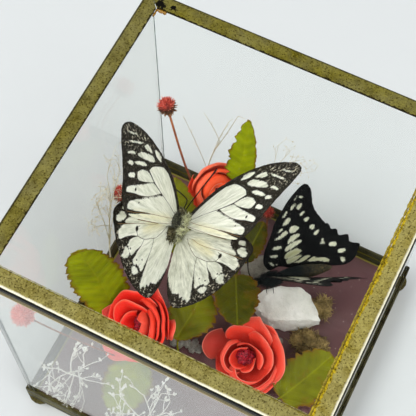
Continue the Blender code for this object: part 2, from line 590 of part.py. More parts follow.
def moss(name, centre, radii, seed):
    """A low cushion of moss on the board; its tufts are uneven."""
    rng = random.Random(seed)
    bm = bmesh.new()
    bmesh.ops.create_icosphere(bm, subdivisions=2, radius=1.0)
    geometry = bm.verts[:] + bm.edges[:] + bm.faces[:]
    cut = bmesh.ops.bisect_plane(bm, geom=geometry, plane_co=(0, 0, 0.001), plane_no=(0, 0, -1),
                                 clear_outer=True)
    rim = [item for item in cut["geom_cut"] if isinstance(item, bmesh.types.BMEdge)]
    bmesh.ops.holes_fill(bm, edges=rim, sides=0)
    for vert in bm.verts:
        grow = rng.uniform(0.88, 1.12)
        flat = vert.co.z < 0.01
        vert.co = (vert.co.x * radii[0] * grow, vert.co.y * radii[1] * grow,
                   0.0 if flat else vert.co.z * radii[2] * grow)
    return finish(name, shifted(bm, Matrix.Translation((*centre, REST))), MOSS, False)


moss("moss_right", (38.5, 11.5), (8.5, 5.0, 4.5), 31)
moss("moss_behind", (39.5, 31.0), (4.0, 4.5, 6.5), 32)
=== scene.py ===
# %% [markdown]
# A square box of glass panes held by brass strips shows two mounted butterflies among dried
# and paper plants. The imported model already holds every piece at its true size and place,
# so this script loads it as a fixed frame and builds the looks around it.

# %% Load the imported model
import math
import random

import bmesh
import bpy
import numpy as np
from mathutils import Matrix, Vector, noise


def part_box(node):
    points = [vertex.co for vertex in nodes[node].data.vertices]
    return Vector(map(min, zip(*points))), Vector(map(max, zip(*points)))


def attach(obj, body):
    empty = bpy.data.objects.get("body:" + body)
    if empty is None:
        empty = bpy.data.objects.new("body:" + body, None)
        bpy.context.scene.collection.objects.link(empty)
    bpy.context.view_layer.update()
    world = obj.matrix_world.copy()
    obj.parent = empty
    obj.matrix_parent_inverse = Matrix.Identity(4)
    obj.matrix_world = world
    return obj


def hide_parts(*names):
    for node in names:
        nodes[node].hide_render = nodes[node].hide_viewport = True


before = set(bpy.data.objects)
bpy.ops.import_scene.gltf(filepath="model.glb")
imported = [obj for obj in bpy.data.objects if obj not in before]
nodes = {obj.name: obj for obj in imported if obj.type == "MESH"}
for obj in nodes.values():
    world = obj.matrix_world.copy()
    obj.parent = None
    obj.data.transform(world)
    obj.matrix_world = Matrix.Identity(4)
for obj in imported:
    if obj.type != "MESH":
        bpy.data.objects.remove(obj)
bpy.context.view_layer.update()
print("packed nodes:", len(nodes))

# %% [markdown]
# Pieces are drawn in millimetres in the box's own frame and become metres in one last step.
# That keeps every number readable: a wing is 0.16 thick, a strip 6.7 wide. The same step
# gives the piece its finish, fixes it to the model and hides the solid that it stands for.

# %% Finishing a piece
MM = 0.001


def finish(name, bm, look, stands_for=(), smooth=True, sharp_angle=40.0):
    """Turn a bmesh drawn in millimetres into a piece of the model, in metres."""
    bmesh.ops.scale(bm, vec=(MM, MM, MM), verts=bm.verts[:])
    mesh = bpy.data.meshes.new(name)
    bm.to_mesh(mesh)
    bm.free()
    if smooth:
        mesh.shade_smooth()
        mesh.set_sharp_from_angle(angle=math.radians(sharp_angle))
    mesh.materials.append(look)
    made = bpy.data.objects.new(name, mesh)
    bpy.context.scene.collection.objects.link(made)
    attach(made, "root")
    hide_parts(*stands_for)
    print(name, "faces:", len(mesh.polygons))
    return made


def frame_at(point, x_axis, y_axis, z_axis):
    """A matrix that takes local X, Y and Z to the given directions at a point."""
    turn = Matrix((x_axis, y_axis, z_axis)).transposed().to_4x4()
    return Matrix.Translation(point) @ turn


def facing(point, axis):
    """A matrix that turns local +Z along an axis, at a point."""
    return Matrix.Translation(point) @ Vector(axis).to_track_quat("Z", "Y").to_matrix().to_4x4()


def shifted(bm, matrix):
    bmesh.ops.transform(bm, matrix=matrix, verts=bm.verts[:])
    return bm


def join(target, part):
    """Add one bmesh to another and free it."""
    mesh = bpy.data.meshes.new("part")
    part.to_mesh(mesh)
    part.free()
    target.from_mesh(mesh)
    bpy.data.meshes.remove(mesh)


# %% [markdown]
# A material here is a small chain of nodes. One helper adds a node and joins its inputs,
# so that a chain reads like a sum: noise, then a ramp, then a mix. Patterns read Object
# coordinates, in metres, or an attribute that the piece carries in millimetres.

# %% Building materials from nodes
def add(tree, kind, settings=None, **inputs):
    """Add a shader node; an input is a value or another node's output socket."""
    made = tree.nodes.new("ShaderNode" + kind)
    for name, value in (settings or {}).items():
        setattr(made, name, value)
    for name, value in inputs.items():
        socket = made.inputs[name.replace("_", " ")]
        if isinstance(value, bpy.types.NodeSocket):
            tree.links.new(value, socket)
        else:
            socket.default_value = value
    return made


def rgb(red, green, blue):
    """A colour given as 0 to 255 display values, in the linear values that shaders use."""
    return tuple(((part / 255 + 0.055) / 1.055) ** 2.4 for part in (red, green, blue)) + (1.0,)


def toned(colour, factor):
    """The same colour, lighter or darker by a factor."""
    return tuple(min(factor * part, 1.0) for part in colour[:3]) + (1.0,)


def mix(tree, share, first, second):
    """Blend two colours by a share from 0 to 1."""
    made = tree.nodes.new("ShaderNodeMix")
    made.data_type = "RGBA"
    for index, value in ((0, share), (6, first), (7, second)):
        if isinstance(value, bpy.types.NodeSocket):
            tree.links.new(value, made.inputs[index])
        else:
            made.inputs[index].default_value = value
    return made.outputs[2]


def maths(tree, operation, first, second=0.5):
    made = tree.nodes.new("ShaderNodeMath")
    made.operation = operation
    for index, value in ((0, first), (1, second)):
        if isinstance(value, bpy.types.NodeSocket):
            tree.links.new(value, made.inputs[index])
        else:
            made.inputs[index].default_value = value
    return made.outputs[0]


def times(tree, first, second):
    return maths(tree, "MULTIPLY", first, second)


def plus(tree, first, second):
    return maths(tree, "ADD", first, second)


def minus(tree, first, second):
    return maths(tree, "SUBTRACT", first, second)


def ramp(tree, value, low, high, start=0.0, end=1.0):
    """Map a value between low and high to start and end, clamped."""
    made = add(tree, "MapRange", {"clamp": True}, Value=value, From_Min=low, From_Max=high,
               To_Min=start, To_Max=end)
    return made.outputs["Result"]


def noise_of(tree, vector, scale, detail=3.0, roughness=0.55):
    made = add(tree, "TexNoise", Vector=vector, Scale=scale, Detail=detail, Roughness=roughness)
    return made.outputs["Fac"]


def stretched(tree, vector, scale):
    """The same coordinates scaled differently along each axis."""
    return add(tree, "Mapping", Vector=vector, Scale=scale).outputs["Vector"]


def coordinates(tree):
    return add(tree, "TexCoord").outputs["Object"]


def attribute(tree, name, output="Fac"):
    return add(tree, "Attribute", {"attribute_name": name}).outputs[output]


def new_material(name):
    """A material with its node tree and its Principled shader."""
    made = bpy.data.materials.new(name)
    made.use_nodes = True
    return made, made.node_tree, made.node_tree.nodes["Principled BSDF"]


def set_on(shader, **values):
    """Set constants on the shader's own sockets; an underscore stands for a space."""
    for name, value in values.items():
        shader.inputs[name.replace("_", " ")].default_value = value


def wire(tree, shader, colour, roughness, height=None, depth=0.0002, strength=0.6):
    """Join the changing parts of a finish to its shader; depth is the relief in metres."""
    for name, value in (("Base Color", colour), ("Roughness", roughness)):
        if isinstance(value, bpy.types.NodeSocket):
            tree.links.new(value, shader.inputs[name])
        else:
            shader.inputs[name].default_value = value
    if height is not None:
        bump = add(tree, "Bump", Height=height, Strength=strength, Distance=depth)
        tree.links.new(bump.outputs["Normal"], shader.inputs["Normal"])


# %% [markdown]
# Three effects come back on many pieces: fine specks of dirt, a soft patchiness, and the
# pale dust that settles on everything in an old case. Each is a node group, built once and
# placed in a material with its own scale and amount.

# %% Shared effects
def effect(name, inputs, build):
    """A node group with a Vector and named numbers in, and one Mask out."""
    group = bpy.data.node_groups.new(name, "ShaderNodeTree")
    group.interface.new_socket("Vector", in_out="INPUT", socket_type="NodeSocketVector")
    for label, value in inputs.items():
        socket = group.interface.new_socket(label, in_out="INPUT", socket_type="NodeSocketFloat")
        socket.default_value = value
    group.interface.new_socket("Mask", in_out="OUTPUT", socket_type="NodeSocketFloat")
    given = group.nodes.new("NodeGroupInput")
    wanted = group.nodes.new("NodeGroupOutput")
    group.links.new(build(group, given.outputs), wanted.inputs["Mask"])
    return group


def speck_mask(tree, given):
    """Small irregular specks: peaks of a fine noise over a threshold set by Amount."""
    value = noise_of(tree, given["Vector"], given["Scale"], 4.0, 0.65)
    limit = minus(tree, 0.72, times(tree, given["Amount"], 0.32))
    return ramp(tree, minus(tree, value, limit), 0.0, 0.05)


def patch_mask(tree, given):
    """Broad soft patches, from a slow noise."""
    return ramp(tree, noise_of(tree, given["Vector"], given["Scale"], 5.0, 0.6), 0.35, 0.65)


def dust_mask(tree, given):
    """Single pale grains: the middles of a few cells of a Voronoi pattern."""
    cells = add(tree, "TexVoronoi", Vector=given["Vector"], Scale=given["Scale"])
    grain = ramp(tree, cells.outputs["Distance"], 0.06, 0.16, 1.0, 0.0)
    chosen = add(tree, "SeparateColor", Color=cells.outputs["Color"]).outputs["Red"]
    limit = minus(tree, 1.0, given["Amount"])
    return times(tree, grain, maths(tree, "GREATER_THAN", chosen, limit))


SPECKS = effect("specks", {"Scale": 2000.0, "Amount": 0.5}, speck_mask)
PATCHES = effect("patches", {"Scale": 100.0}, patch_mask)
DUST = effect("dust", {"Scale": 900.0, "Amount": 0.3}, dust_mask)


def masked(tree, group, vector, **numbers):
    """Place a shared effect in a material and return its mask."""
    made = tree.nodes.new("ShaderNodeGroup")
    made.node_tree = group
    tree.links.new(vector, made.inputs["Vector"])
    for name, value in numbers.items():
        made.inputs[name].default_value = value
    return made.outputs["Mask"]


# %% [markdown]
# The strips are thin brass, folded along the outer edge and antiqued: an olive patina with
# fine dark pits and pale rubbed patches. On the front and right strips a painted highlight
# runs along the fold, with a painted dark reflection below it, then a brown band and thin
# pale and dark lines. The left and back strips take a darker tone and a dark band along
# the fold, both painted shade. Each stripe is a span of heights, so one small loop paints
# them all.

# %% The brass
LID_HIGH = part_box("glass_lid")[1].z / MM
LID_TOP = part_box("lid_strip_front")[1].z / MM
LID_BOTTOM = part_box("lid_strip_front")[0].z / MM
INNER_EDGE = 58.3
BLOTS = (((-57.5, 60.0, LID_TOP), 2.0), ((-52.4, 60.8, LID_TOP), 0.9))


def between(tree, value, low, high, soft):
    """1 where a value lies between two limits, with soft edges."""
    return times(tree, ramp(tree, value, low - soft, low + soft),
                 ramp(tree, value, high - soft, high + soft, 1.0, 0.0))


def in_mm(tree, socket):
    return times(tree, socket, 1000.0)


def brass_finish(name, gold, olive, bands=(), edge_colour=None, edge_width=0.0, blotch=False):
    """Antique brass between two tones, with stripes by height and a tone on its inner edge."""
    made, tree, shader = new_material(name)
    place = coordinates(tree)
    base = mix(tree, masked(tree, PATCHES, place, Scale=260.0), olive, gold)
    grain = noise_of(tree, place, 1250.0, 4.0, 0.7)
    base = mix(tree, ramp(tree, grain, 0.52, 0.64, 0.0, 0.6), base, toned(gold, 1.5))
    lichen = masked(tree, PATCHES, place, Scale=90.0)
    base = mix(tree, times(tree, lichen, 0.3), base, rgb(158, 154, 110))
    pits = ramp(tree, noise_of(tree, place, 1400.0, 3.0, 0.6), 0.37, 0.46, 1.0, 0.0)
    blots = masked(tree, SPECKS, place, Scale=420.0, Amount=0.12)
    dark = maths(tree, "MAXIMUM", times(tree, pits, 0.8), blots)
    colour = mix(tree, dark, base, rgb(64, 52, 6))
    axes = add(tree, "SeparateXYZ", Vector=place)
    far = [in_mm(tree, maths(tree, "ABSOLUTE", axes.outputs[axis])) for axis in "XY"]
    ring = maths(tree, "MAXIMUM", *far)
    ragged = times(tree, minus(tree, noise_of(tree, place, 700.0, 4.0, 0.7), 0.5), 3.0)
    if edge_colour:
        edge = ramp(tree, plus(tree, ring, ragged), INNER_EDGE + edge_width - 0.15,
                    INNER_EDGE + edge_width + 0.15, 1.0, 0.0)
        bright = mix(tree, ramp(tree, grain, 0.5, 0.6), edge_colour, toned(edge_colour, 1.5))
        rough_edge = mix(tree, ramp(tree, grain, 0.40, 0.48, 0.85, 0.0), bright, rgb(58, 44, 0))
        colour = mix(tree, edge, colour, rough_edge)
    for spot, reach in BLOTS if blotch else ():
        away = add(tree, "VectorMath", {"operation": "DISTANCE"})
        tree.links.new(place, away.inputs[0])
        away.inputs[1].default_value = Vector(spot) * MM
        gap = plus(tree, in_mm(tree, away.outputs["Value"]), times(tree, ragged, 2.4))
        colour = mix(tree, ramp(tree, gap, reach - 0.2, reach + 0.2, 1.0, 0.0), colour, rgb(14, 11, 4))
    height = in_mm(tree, axes.outputs["Z"])
    waver = plus(tree, height, times(tree, ragged, 0.07))
    for low, high, stripe in bands:
        colour = mix(tree, between(tree, waver, low, high, 0.08), colour, stripe)
    wire(tree, shader, colour, ramp(tree, dark, 0.0, 1.0, 0.45, 0.8),
         minus(tree, 1.0, dark), 0.00012, 0.5)
    set_on(shader, Metallic=0.25, Specular_IOR_Level=0.08)
    return made


FOLD_LOW, FOLD_HIGH = LID_TOP - 0.5, LID_TOP - 0.12
# Painted highlight on the fold, painted dark reflection under it, then the flange's bands.
NEAR_HIGHLIGHT_SHADE_EDGE_BANDS = ((FOLD_LOW, FOLD_HIGH, rgb(252, 248, 222)),
              (FOLD_LOW - 3.0, FOLD_LOW, rgb(4, 4, 2)),
              (LID_BOTTOM + 1.7, FOLD_LOW - 3.0, rgb(108, 98, 62)),
              (LID_BOTTOM + 1.3, LID_BOTTOM + 1.7, rgb(176, 156, 96)),
              (LID_BOTTOM + 0.7, LID_BOTTOM + 1.3, rgb(48, 36, 22)),
              (LID_BOTTOM - 0.2, LID_BOTTOM + 0.7, rgb(200, 182, 136)))
# The far strips' dark band on the fold is painted shade.
FAR_FOLD_SHADE_BANDS = ((FOLD_LOW, FOLD_HIGH, rgb(40, 34, 12)),)
BASE_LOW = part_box("base_strip_front")[0].z / MM
BOARD_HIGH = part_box("base_board")[1].z / MM
BASE_BANDS = ((BASE_LOW - 0.2, BASE_LOW + 0.9, rgb(206, 190, 148)),
              (BASE_LOW + 0.9, BASE_LOW + 1.5, rgb(60, 48, 26)),
              (BOARD_HIGH - 0.2, BOARD_HIGH + 1.1, rgb(112, 104, 22)))
GOLD, OLIVE = rgb(160, 150, 82), rgb(116, 104, 38)
BRASSES = {
    "lid_strip_front": brass_finish("near_brass", GOLD, OLIVE, NEAR_HIGHLIGHT_SHADE_EDGE_BANDS, rgb(120, 112, 40), 0.3),
    "lid_strip_right": brass_finish("gilt_brass", rgb(172, 160, 88), rgb(134, 120, 46), NEAR_HIGHLIGHT_SHADE_EDGE_BANDS,
                                    rgb(176, 152, 28), 0.9),
    # The left and back strips' darker tones are painted shade.
    "lid_strip_left": brass_finish("shaded_left_brass", rgb(126, 118, 50), rgb(90, 82, 26), FAR_FOLD_SHADE_BANDS,
                                   rgb(30, 26, 8), 0.25, True),
    "lid_strip_back": brass_finish("shaded_back_brass", rgb(124, 116, 34), rgb(86, 78, 10), FAR_FOLD_SHADE_BANDS,
                                   rgb(24, 20, 6), 0.25, True),
    # The base strip's near-black tones are painted shade.
    "base_strip": brass_finish("dark_brass", rgb(30, 30, 20), rgb(14, 13, 8), BASE_BANDS),
    "foot": brass_finish("foot_brass", rgb(96, 88, 46), rgb(50, 44, 20)),
}
for name, solid in nodes.items():
    for start, look in BRASSES.items():
        if name.startswith(start):
            solid.data.materials.clear()
            solid.data.materials.append(look)

# %% [markdown]
# The panes are 2 mm thick and keep a plain full transmission. Window glass has an index of
# about 1.5. Only the front wall comes near it and looks milky; the lid and the other walls
# have a much lower one, chosen so that their mirror of a pale room stays as faint as it is
# in the picture. Lamps would throw a dark shadow through solid glass, so shadow rays meet
# a clear shader instead.

# %% The glass
def glass_finish(name, index, tint):
    made, tree, shader = new_material(name)
    set_on(shader, Base_Color=tint, Roughness=0.0, Transmission_Weight=1.0, IOR=index)
    clear = add(tree, "BsdfTransparent", Color=(0.98, 0.985, 0.98, 1.0))
    path = add(tree, "LightPath")
    blend = tree.nodes.new("ShaderNodeMixShader")
    tree.links.new(path.outputs["Is Shadow Ray"], blend.inputs[0])
    tree.links.new(shader.outputs["BSDF"], blend.inputs[1])
    tree.links.new(clear.outputs["BSDF"], blend.inputs[2])
    tree.links.new(blend.outputs["Shader"], tree.nodes["Material Output"].inputs["Surface"])
    return made


PANES = {"glass_lid": glass_finish("lid_glass", 1.1, (0.985, 0.99, 0.985, 1.0)),
         "glass_front": glass_finish("front_glass", 1.42, (0.93, 0.96, 0.95, 1.0)),
         # The left pane's grey tint is a painted reflection of the dark board.
         "glass_left": glass_finish("left_glass", 1.08, (0.90, 0.91, 0.89, 1.0)),
         "glass_back": glass_finish("back_glass", 1.06, (0.97, 0.98, 0.97, 1.0)),
         "glass_right": glass_finish("right_glass", 1.04, (0.90, 0.93, 0.91, 1.0))}
for name, look in PANES.items():
    nodes[name].data.materials.clear()
    nodes[name].data.materials.append(look)

# %% [markdown]
# The base board is painted mauve-brown. Dust, smears and a few pale grains lie on it.
# All of that is colour and roughness; nothing needs modelling.

# %% The board
def board_finish():
    made, tree, shader = new_material("mauve_board")
    place = coordinates(tree)
    base = mix(tree, masked(tree, PATCHES, place, Scale=35.0), rgb(80, 46, 48), rgb(98, 62, 62))
    smear = noise_of(tree, stretched(tree, place, (30.0, 120.0, 30.0)), 1.0, 5.0, 0.6)
    base = mix(tree, ramp(tree, smear, 0.5, 0.8, 0.0, 0.35), base, rgb(132, 106, 104))
    grains = masked(tree, DUST, place, Scale=520.0, Amount=0.28)
    base = mix(tree, times(tree, grains, 0.7), base, rgb(196, 186, 172))
    crumbs = masked(tree, SPECKS, place, Scale=900.0, Amount=0.12)
    colour = mix(tree, crumbs, base, rgb(56, 38, 30))
    axes = add(tree, "SeparateXYZ", Vector=place)
    far = [in_mm(tree, maths(tree, "ABSOLUTE", axes.outputs[axis])) for axis in "XY"]
    ragged = times(tree, noise_of(tree, place, 400.0, 3.0), 0.6)
    rim = ramp(tree, plus(tree, maths(tree, "MAXIMUM", *far), ragged), 61.0, 61.3)
    colour = mix(tree, rim, colour, rgb(120, 112, 20))
    wire(tree, shader, colour, ramp(tree, smear, 0.3, 0.7, 0.35, 0.6), grains, 0.0002, 0.3)
    return made


nodes["base_board"].data.materials.clear()
nodes["base_board"].data.materials.append(board_finish())

# %% [markdown]
# Each wing is one sheet of membrane covered in scales, and its markings follow the veins.
# A grid cut into the outline gives the sheet enough points to bow and to carry the
# pattern. Distances to the drawn patches and veins are kept on those points, and the
# material turns them into crisp edges, so no picture is needed at any size.

# %% Outlines and distances
CURVE_STEPS = 4


def smooth_path(points, steps, closed=False):
    """Points on a smooth curve through the given ones, with steps to each stretch."""
    points = [Vector(point) for point in points]
    if closed:
        ends = [points[-1]] + points + points[:2]
    else:
        ends = [points[0] * 2 - points[1]] + points + [points[-1] * 2 - points[-2]]
    path = []
    for before, start, end, after in zip(ends, ends[1:], ends[2:], ends[3:]):
        for step in range(steps):
            t = step / steps
            path.append(0.5 * ((2 * start) + (end - before) * t
                               + (2 * before - 5 * start + 4 * end - after) * t ** 2
                               + (3 * start - before - 3 * end + after) * t ** 3))
    return path if closed else path + [points[-1]]


def line_distance(points, starts, ends):
    """Distance from each point to the nearest of several segments, and where along them."""
    run = ends - starts
    away = points[:, None] - starts[None]
    share = np.clip((away * run).sum(2) / np.maximum((run * run).sum(1), 1e-9), 0, 1)
    gap = np.linalg.norm(away - share[..., None] * run, axis=2)
    nearest = gap.argmin(1)
    row = np.arange(len(points))
    return gap[row, nearest], (nearest + share[row, nearest]) / len(starts)


def patch_depth(points, corners):
    """How far each point lies inside a smooth closed patch; negative outside."""
    loop = np.array([tuple(point)[:2] for point in smooth_path(corners, CURVE_STEPS, closed=True)])
    after = np.roll(loop, -1, 0)
    gap = line_distance(points, loop, after)[0]
    rise = np.where(after[:, 1] == loop[:, 1], 1e-9, after[:, 1] - loop[:, 1])
    level = points[:, None, 1]
    spans = (loop[:, 1] > level) != (after[:, 1] > level)
    meets = loop[:, 0] + (level - loop[:, 1]) * (after[:, 0] - loop[:, 0]) / rise
    inside = (spans & (points[:, None, 0] < meets)).sum(1) % 2 == 1
    return np.where(inside, gap, -gap)


def vein_depth(points, path, start, end):
    """How far each point lies inside a dark streak that grows from one half width to another."""
    line = np.array([tuple(point)[:2] for point in smooth_path(path, CURVE_STEPS)])
    gap, along = line_distance(points, line[:-1], line[1:])
    return start + (end - start) * along - gap


# %% [markdown]
# The pale butterfly's wings are cream with black veins, a black front edge and a black
# tip broken by pale patches. Places are (forward, outward) from the hinge in millimetres,
# for a wing laid flat; left and right are the same drawing mirrored.

# %% Drawing of the pale wings
PALE_FOREWING = {
    "outline": ((1.2, 2.4), (6.8, 3.4), (10.8, 7.5), (14.8, 13.0), (17.8, 20.0), (19.6, 28.0),
                (20.2, 36.0), (19.6, 43.5), (18.0, 49.5), (15.8, 54.0), (12.8, 56.6), (9.8, 57.0),
                (6.5, 55.2), (2.5, 52.5), (-2.8, 48.5), (-8.0, 45.2), (-13.0, 43.0),
                (-16.5, 40.5), (-18.8, 37.2), (-18.0, 32.8), (-15.4, 27.6), (-11.4, 20.2),
                (-7.4, 13.2), (-3.0, 6.4)),
    "patches": (
        ((2.6, 2.2), (3.0, 8.0), (3.4, 15.5), (3.6, 20.5), (4.2, 26.0), (5.2, 29.8), (6.3, 32.8),
         (8.8, 32.2), (12.0, 29.8), (14.0, 27.0), (15.1, 23.5), (15.2, 19.5), (13.6, 14.8),
         (11.0, 10.4), (8.4, 6.8), (5.4, 3.2)),
        ((3.6, 9.0), (3.7, 17.5), (0.5, 19.6), (-2.6, 21.6), (-5.6, 24.0), (-9.0, 27.6),
         (-12.6, 31.0), (-15.6, 33.6), (-17.0, 35.0), (-18.6, 34.6), (-20.4, 32.0), (-17.6, 25.0),
         (-12.6, 16.6), (-8.6, 9.6), (-4.6, 3.4), (0.0, 0.6), (2.6, 2.4)),
        ((4.2, 27.3), (5.0, 30.3), (5.0, 33.2), (4.1, 35.3), (1.6, 38.0), (-0.4, 38.6),
         (-2.2, 37.0), (-1.4, 33.8), (0.3, 31.0), (3.2, 27.8)),
        ((3.4, 20.5), (3.6, 26.2), (2.0, 28.8), (-2.0, 33.0), (-5.6, 37.3), (-8.4, 40.6),
         (-11.0, 41.0), (-10.4, 37.3), (-8.0, 33.2), (-5.8, 29.3), (-2.0, 24.8), (1.5, 21.6)),
        ((2.4, 7.5), (2.8, 13.0), (2.6, 19.0), (-1.0, 23.0), (-4.6, 27.2), (-8.2, 31.3),
         (-11.2, 34.8), (-14.6, 37.4), (-16.6, 36.4), (-15.6, 34.2), (-13.8, 31.0),
         (-11.0, 26.5), (-7.8, 21.2), (-4.4, 15.7), (-1.4, 10.3), (0.8, 7.5)),
        ((-0.6, 6.5), (-3.2, 10.6), (-6.2, 16.0), (-9.8, 21.6), (-13.2, 27.2), (-15.8, 31.2),
         (-17.3, 34.8), (-18.6, 34.2), (-17.0, 29.0), (-12.6, 20.6), (-8.4, 13.2), (-4.0, 6.0)),
        ((17.0, 26.4), (18.3, 29.0), (18.4, 32.4), (17.3, 33.8), (15.8, 31.5), (15.6, 28.5)),
        ((15.2, 34.4), (16.0, 37.2), (15.5, 39.8), (13.4, 40.7), (13.5, 38.0), (14.4, 35.4)),
        ((13.0, 31.2), (13.9, 33.6), (11.8, 38.0), (10.0, 41.0), (7.4, 42.6), (6.9, 41.6),
         (8.4, 38.0), (10.4, 34.0), (12.2, 31.4)),
        ((7.2, 35.2), (6.8, 37.6), (4.6, 40.8), (2.6, 42.9), (2.4, 41.6), (4.2, 38.6), (6.0, 35.8)),
        ((1.9, 43.2), (1.4, 45.2), (-0.5, 46.6), (-0.2, 44.6), (0.5, 43.2)),
        ((-1.7, 40.6), (-2.8, 42.6), (-4.9, 43.4), (-4.6, 41.6), (-3.3, 39.6), (-2.1, 39.6)),
        ((6.8, 44.4), (6.2, 46.3), (3.1, 48.8), (4.0, 46.8), (5.6, 44.6)),
        ((14.2, 42.2), (12.6, 44.8), (9.0, 49.6), (8.0, 50.8), (9.6, 47.8), (12.4, 43.8)),
        ((14.4, 47.6), (13.2, 50.4), (11.2, 53.2), (12.2, 50.4)),
    ),
    "veins": (
        (((1.6, 5.0), (-1.8, 10.0), (-5.0, 15.5), (-8.5, 21.4), (-12.2, 27.4), (-15.4, 32.0),
          (-17.8, 36.0)), -0.75, 1.0, 1.0),
        (((2.6, 3.0), (3.1, 8.0), (3.4, 14.0), (3.5, 20.0), (3.9, 26.3), (5.0, 30.0), (6.2, 33.0)),
         -0.1, 0.5, 0.0),
        (((-1.0, 4.6), (-6.0, 11.8), (-11.4, 20.0), (-16.4, 28.6)), -0.5, 0.0, 0.7),
        (((3.4, 19.6), (-0.8, 23.8), (-4.8, 28.4), (-7.6, 32.4), (-9.6, 36.0), (-12.6, 40.5)),
         -0.5, 1.1, 0.2),
        (((3.9, 26.6), (0.8, 30.4), (-2.2, 34.6), (-5.0, 38.8), (-9.0, 43.5)), -0.1, 1.3, 0.0),
        (((5.4, 4.0), (9.8, 8.6), (13.6, 14.4), (16.6, 21.0), (17.6, 27.0)), 0.7, 1.1, 0.0),
        (((6.2, 33.0), (9.6, 31.6), (12.6, 28.6), (14.6, 26.0), (16.6, 24.0)), 0.4, 0.5, 0.0),
    ),
    "marks": (((-7.0, 36.2), 1.0, 0.55), ((-10.2, 31.6), 0.5, 0.4), ((-9.4, 33.0), 0.35, 0.3)),
    "dusty": ((18.6, 34.5), (18.8, 41.0), (17.6, 47.5), (14.6, 53.8), (10.4, 55.2), (5.0, 51.2),
              (4.4, 46.0), (9.0, 43.0), (14.6, 41.0), (17.0, 35.0)),
    "warm": ((0.0, 7.0), (-4.0, 10.0), (-11.0, 20.0), (-16.5, 30.0), (-18.0, 34.0),
             (-14.0, 32.0), (-8.0, 22.0), (-2.0, 13.0)),
}
PALE_HINDWING = {
    "outline": ((-3.0, 0.8), (0.0, 4.0), (1.0, 10.0), (0.0, 18.0), (-4.8, 27.0), (-11.2, 34.8),
                (-16.5, 38.2), (-21.5, 37.2), (-28.0, 33.4), (-33.5, 29.4), (-38.0, 24.8),
                (-41.0, 19.4), (-42.3, 13.0), (-41.4, 8.6), (-37.5, 5.2), (-31.0, 2.6),
                (-23.0, 0.9), (-14.0, 0.2), (-7.0, 0.2)),
    "patches": (
        ((-1.0, 1.0), (1.6, 5.0), (1.6, 12.0), (0.4, 18.0), (-4.0, 24.0), (-9.0, 27.0),
         (-13.0, 27.8), (-16.4, 30.0), (-18.2, 31.2), (-19.2, 30.6), (-20.2, 31.4), (-23.4, 33.2),
         (-26.4, 32.6), (-26.8, 31.0), (-24.8, 28.2), (-22.2, 25.4), (-24.2, 26.2), (-26.6, 26.8),
         (-28.6, 25.6), (-30.0, 23.8), (-28.0, 22.4), (-26.0, 21.2), (-28.6, 21.4), (-31.6, 22.2),
         (-32.8, 20.4), (-32.0, 18.4), (-33.2, 17.0), (-32.6, 15.6), (-29.0, 14.8), (-33.0, 14.8),
         (-38.4, 15.2), (-40.4, 14.2), (-38.4, 13.0), (-38.8, 12.0), (-36.4, 11.2), (-36.8, 10.0),
         (-34.8, 9.4), (-34.4, 7.4), (-32.0, 4.6), (-23.0, 0.8), (-15.0, 0.0), (-6.0, -0.6)),
        ((-28.2, 26.4), (-28.6, 28.2), (-31.4, 28.2), (-33.2, 28.8), (-32.6, 26.4), (-31.8, 25.2),
         (-29.8, 25.2)),
        ((-33.4, 19.0), (-33.4, 21.4), (-35.2, 21.8), (-37.0, 20.4), (-35.8, 18.8), (-34.8, 17.6)),
        ((-15.4, 31.8), (-15.2, 33.8), (-16.8, 35.2), (-19.6, 36.2), (-20.6, 34.8), (-18.8, 32.6),
         (-17.0, 31.4)),
        ((-11.2, 31.4), (-11.6, 33.4), (-13.4, 34.6), (-14.2, 33.6), (-13.0, 31.4)),
    ),
    "veins": (
        (((-3.6, 5.2), (-7.2, 6.8), (-10.5, 8.6), (-13.3, 10.4), (-15.8, 12.4), (-17.6, 15.0),
          (-19.3, 17.6), (-20.2, 19.6), (-20.6, 22.5)), -0.1, 0.16, 0.2),
        (((-16.0, 22.8), (-17.4, 24.2), (-19.4, 23.6), (-20.6, 22.5)), 0.0, 0.2, 0.0),
        (((-20.6, 22.5), (-22.4, 25.4), (-25.2, 28.4), (-29.0, 31.6)), 0.1, 1.5, 0.0),
        (((-19.8, 18.6), (-23.0, 19.4), (-26.6, 21.2), (-30.0, 22.6), (-33.0, 24.4)), -0.2, 1.0, 0.0),
        (((-16.6, 13.2), (-21.0, 13.2), (-26.0, 14.0), (-31.0, 14.8), (-36.0, 16.2)), -0.3, 0.7, 0.0),
        (((-5.0, 8.0), (-9.0, 12.4), (-12.6, 18.2), (-15.0, 23.2), (-17.6, 27.6), (-19.6, 31.2),
          (-21.6, 34.6)), -0.5, 0.5, 1.0),
    ),
    "marks": (((-18.0, 24.1), 1.3, 0.8), ((-32.6, 19.6), 0.8, 0.6), ((-28.6, 17.2), 0.5, 0.4),
              ((-27.6, 25.0), 0.5, 0.4), ((-30.2, 20.2), 0.4, 0.5)),
    "dusty": ((-24.0, 34.0), (-31.0, 30.6), (-37.0, 25.0), (-41.0, 19.0), (-42.0, 12.0),
              (-40.0, 7.4), (-36.0, 7.0), (-36.4, 12.0), (-35.0, 18.0), (-31.0, 23.6),
              (-27.0, 28.0)),
    "warm": ((-5.0, 7.0), (-5.5, 12.0), (-10.0, 17.5), (-16.0, 21.0), (-17.5, 19.0),
             (-13.0, 13.0), (-8.0, 8.0)),
}
print("pale patches:", len(PALE_FOREWING["patches"]), len(PALE_HINDWING["patches"]))

# %% [markdown]
# The dark butterfly is black with rows of pale green and cream spots. Only its right
# pair is seen from above; the left pair stands nearly on edge below the body. The same
# spots serve both pairs, and the fore and hind wings share one set of places.

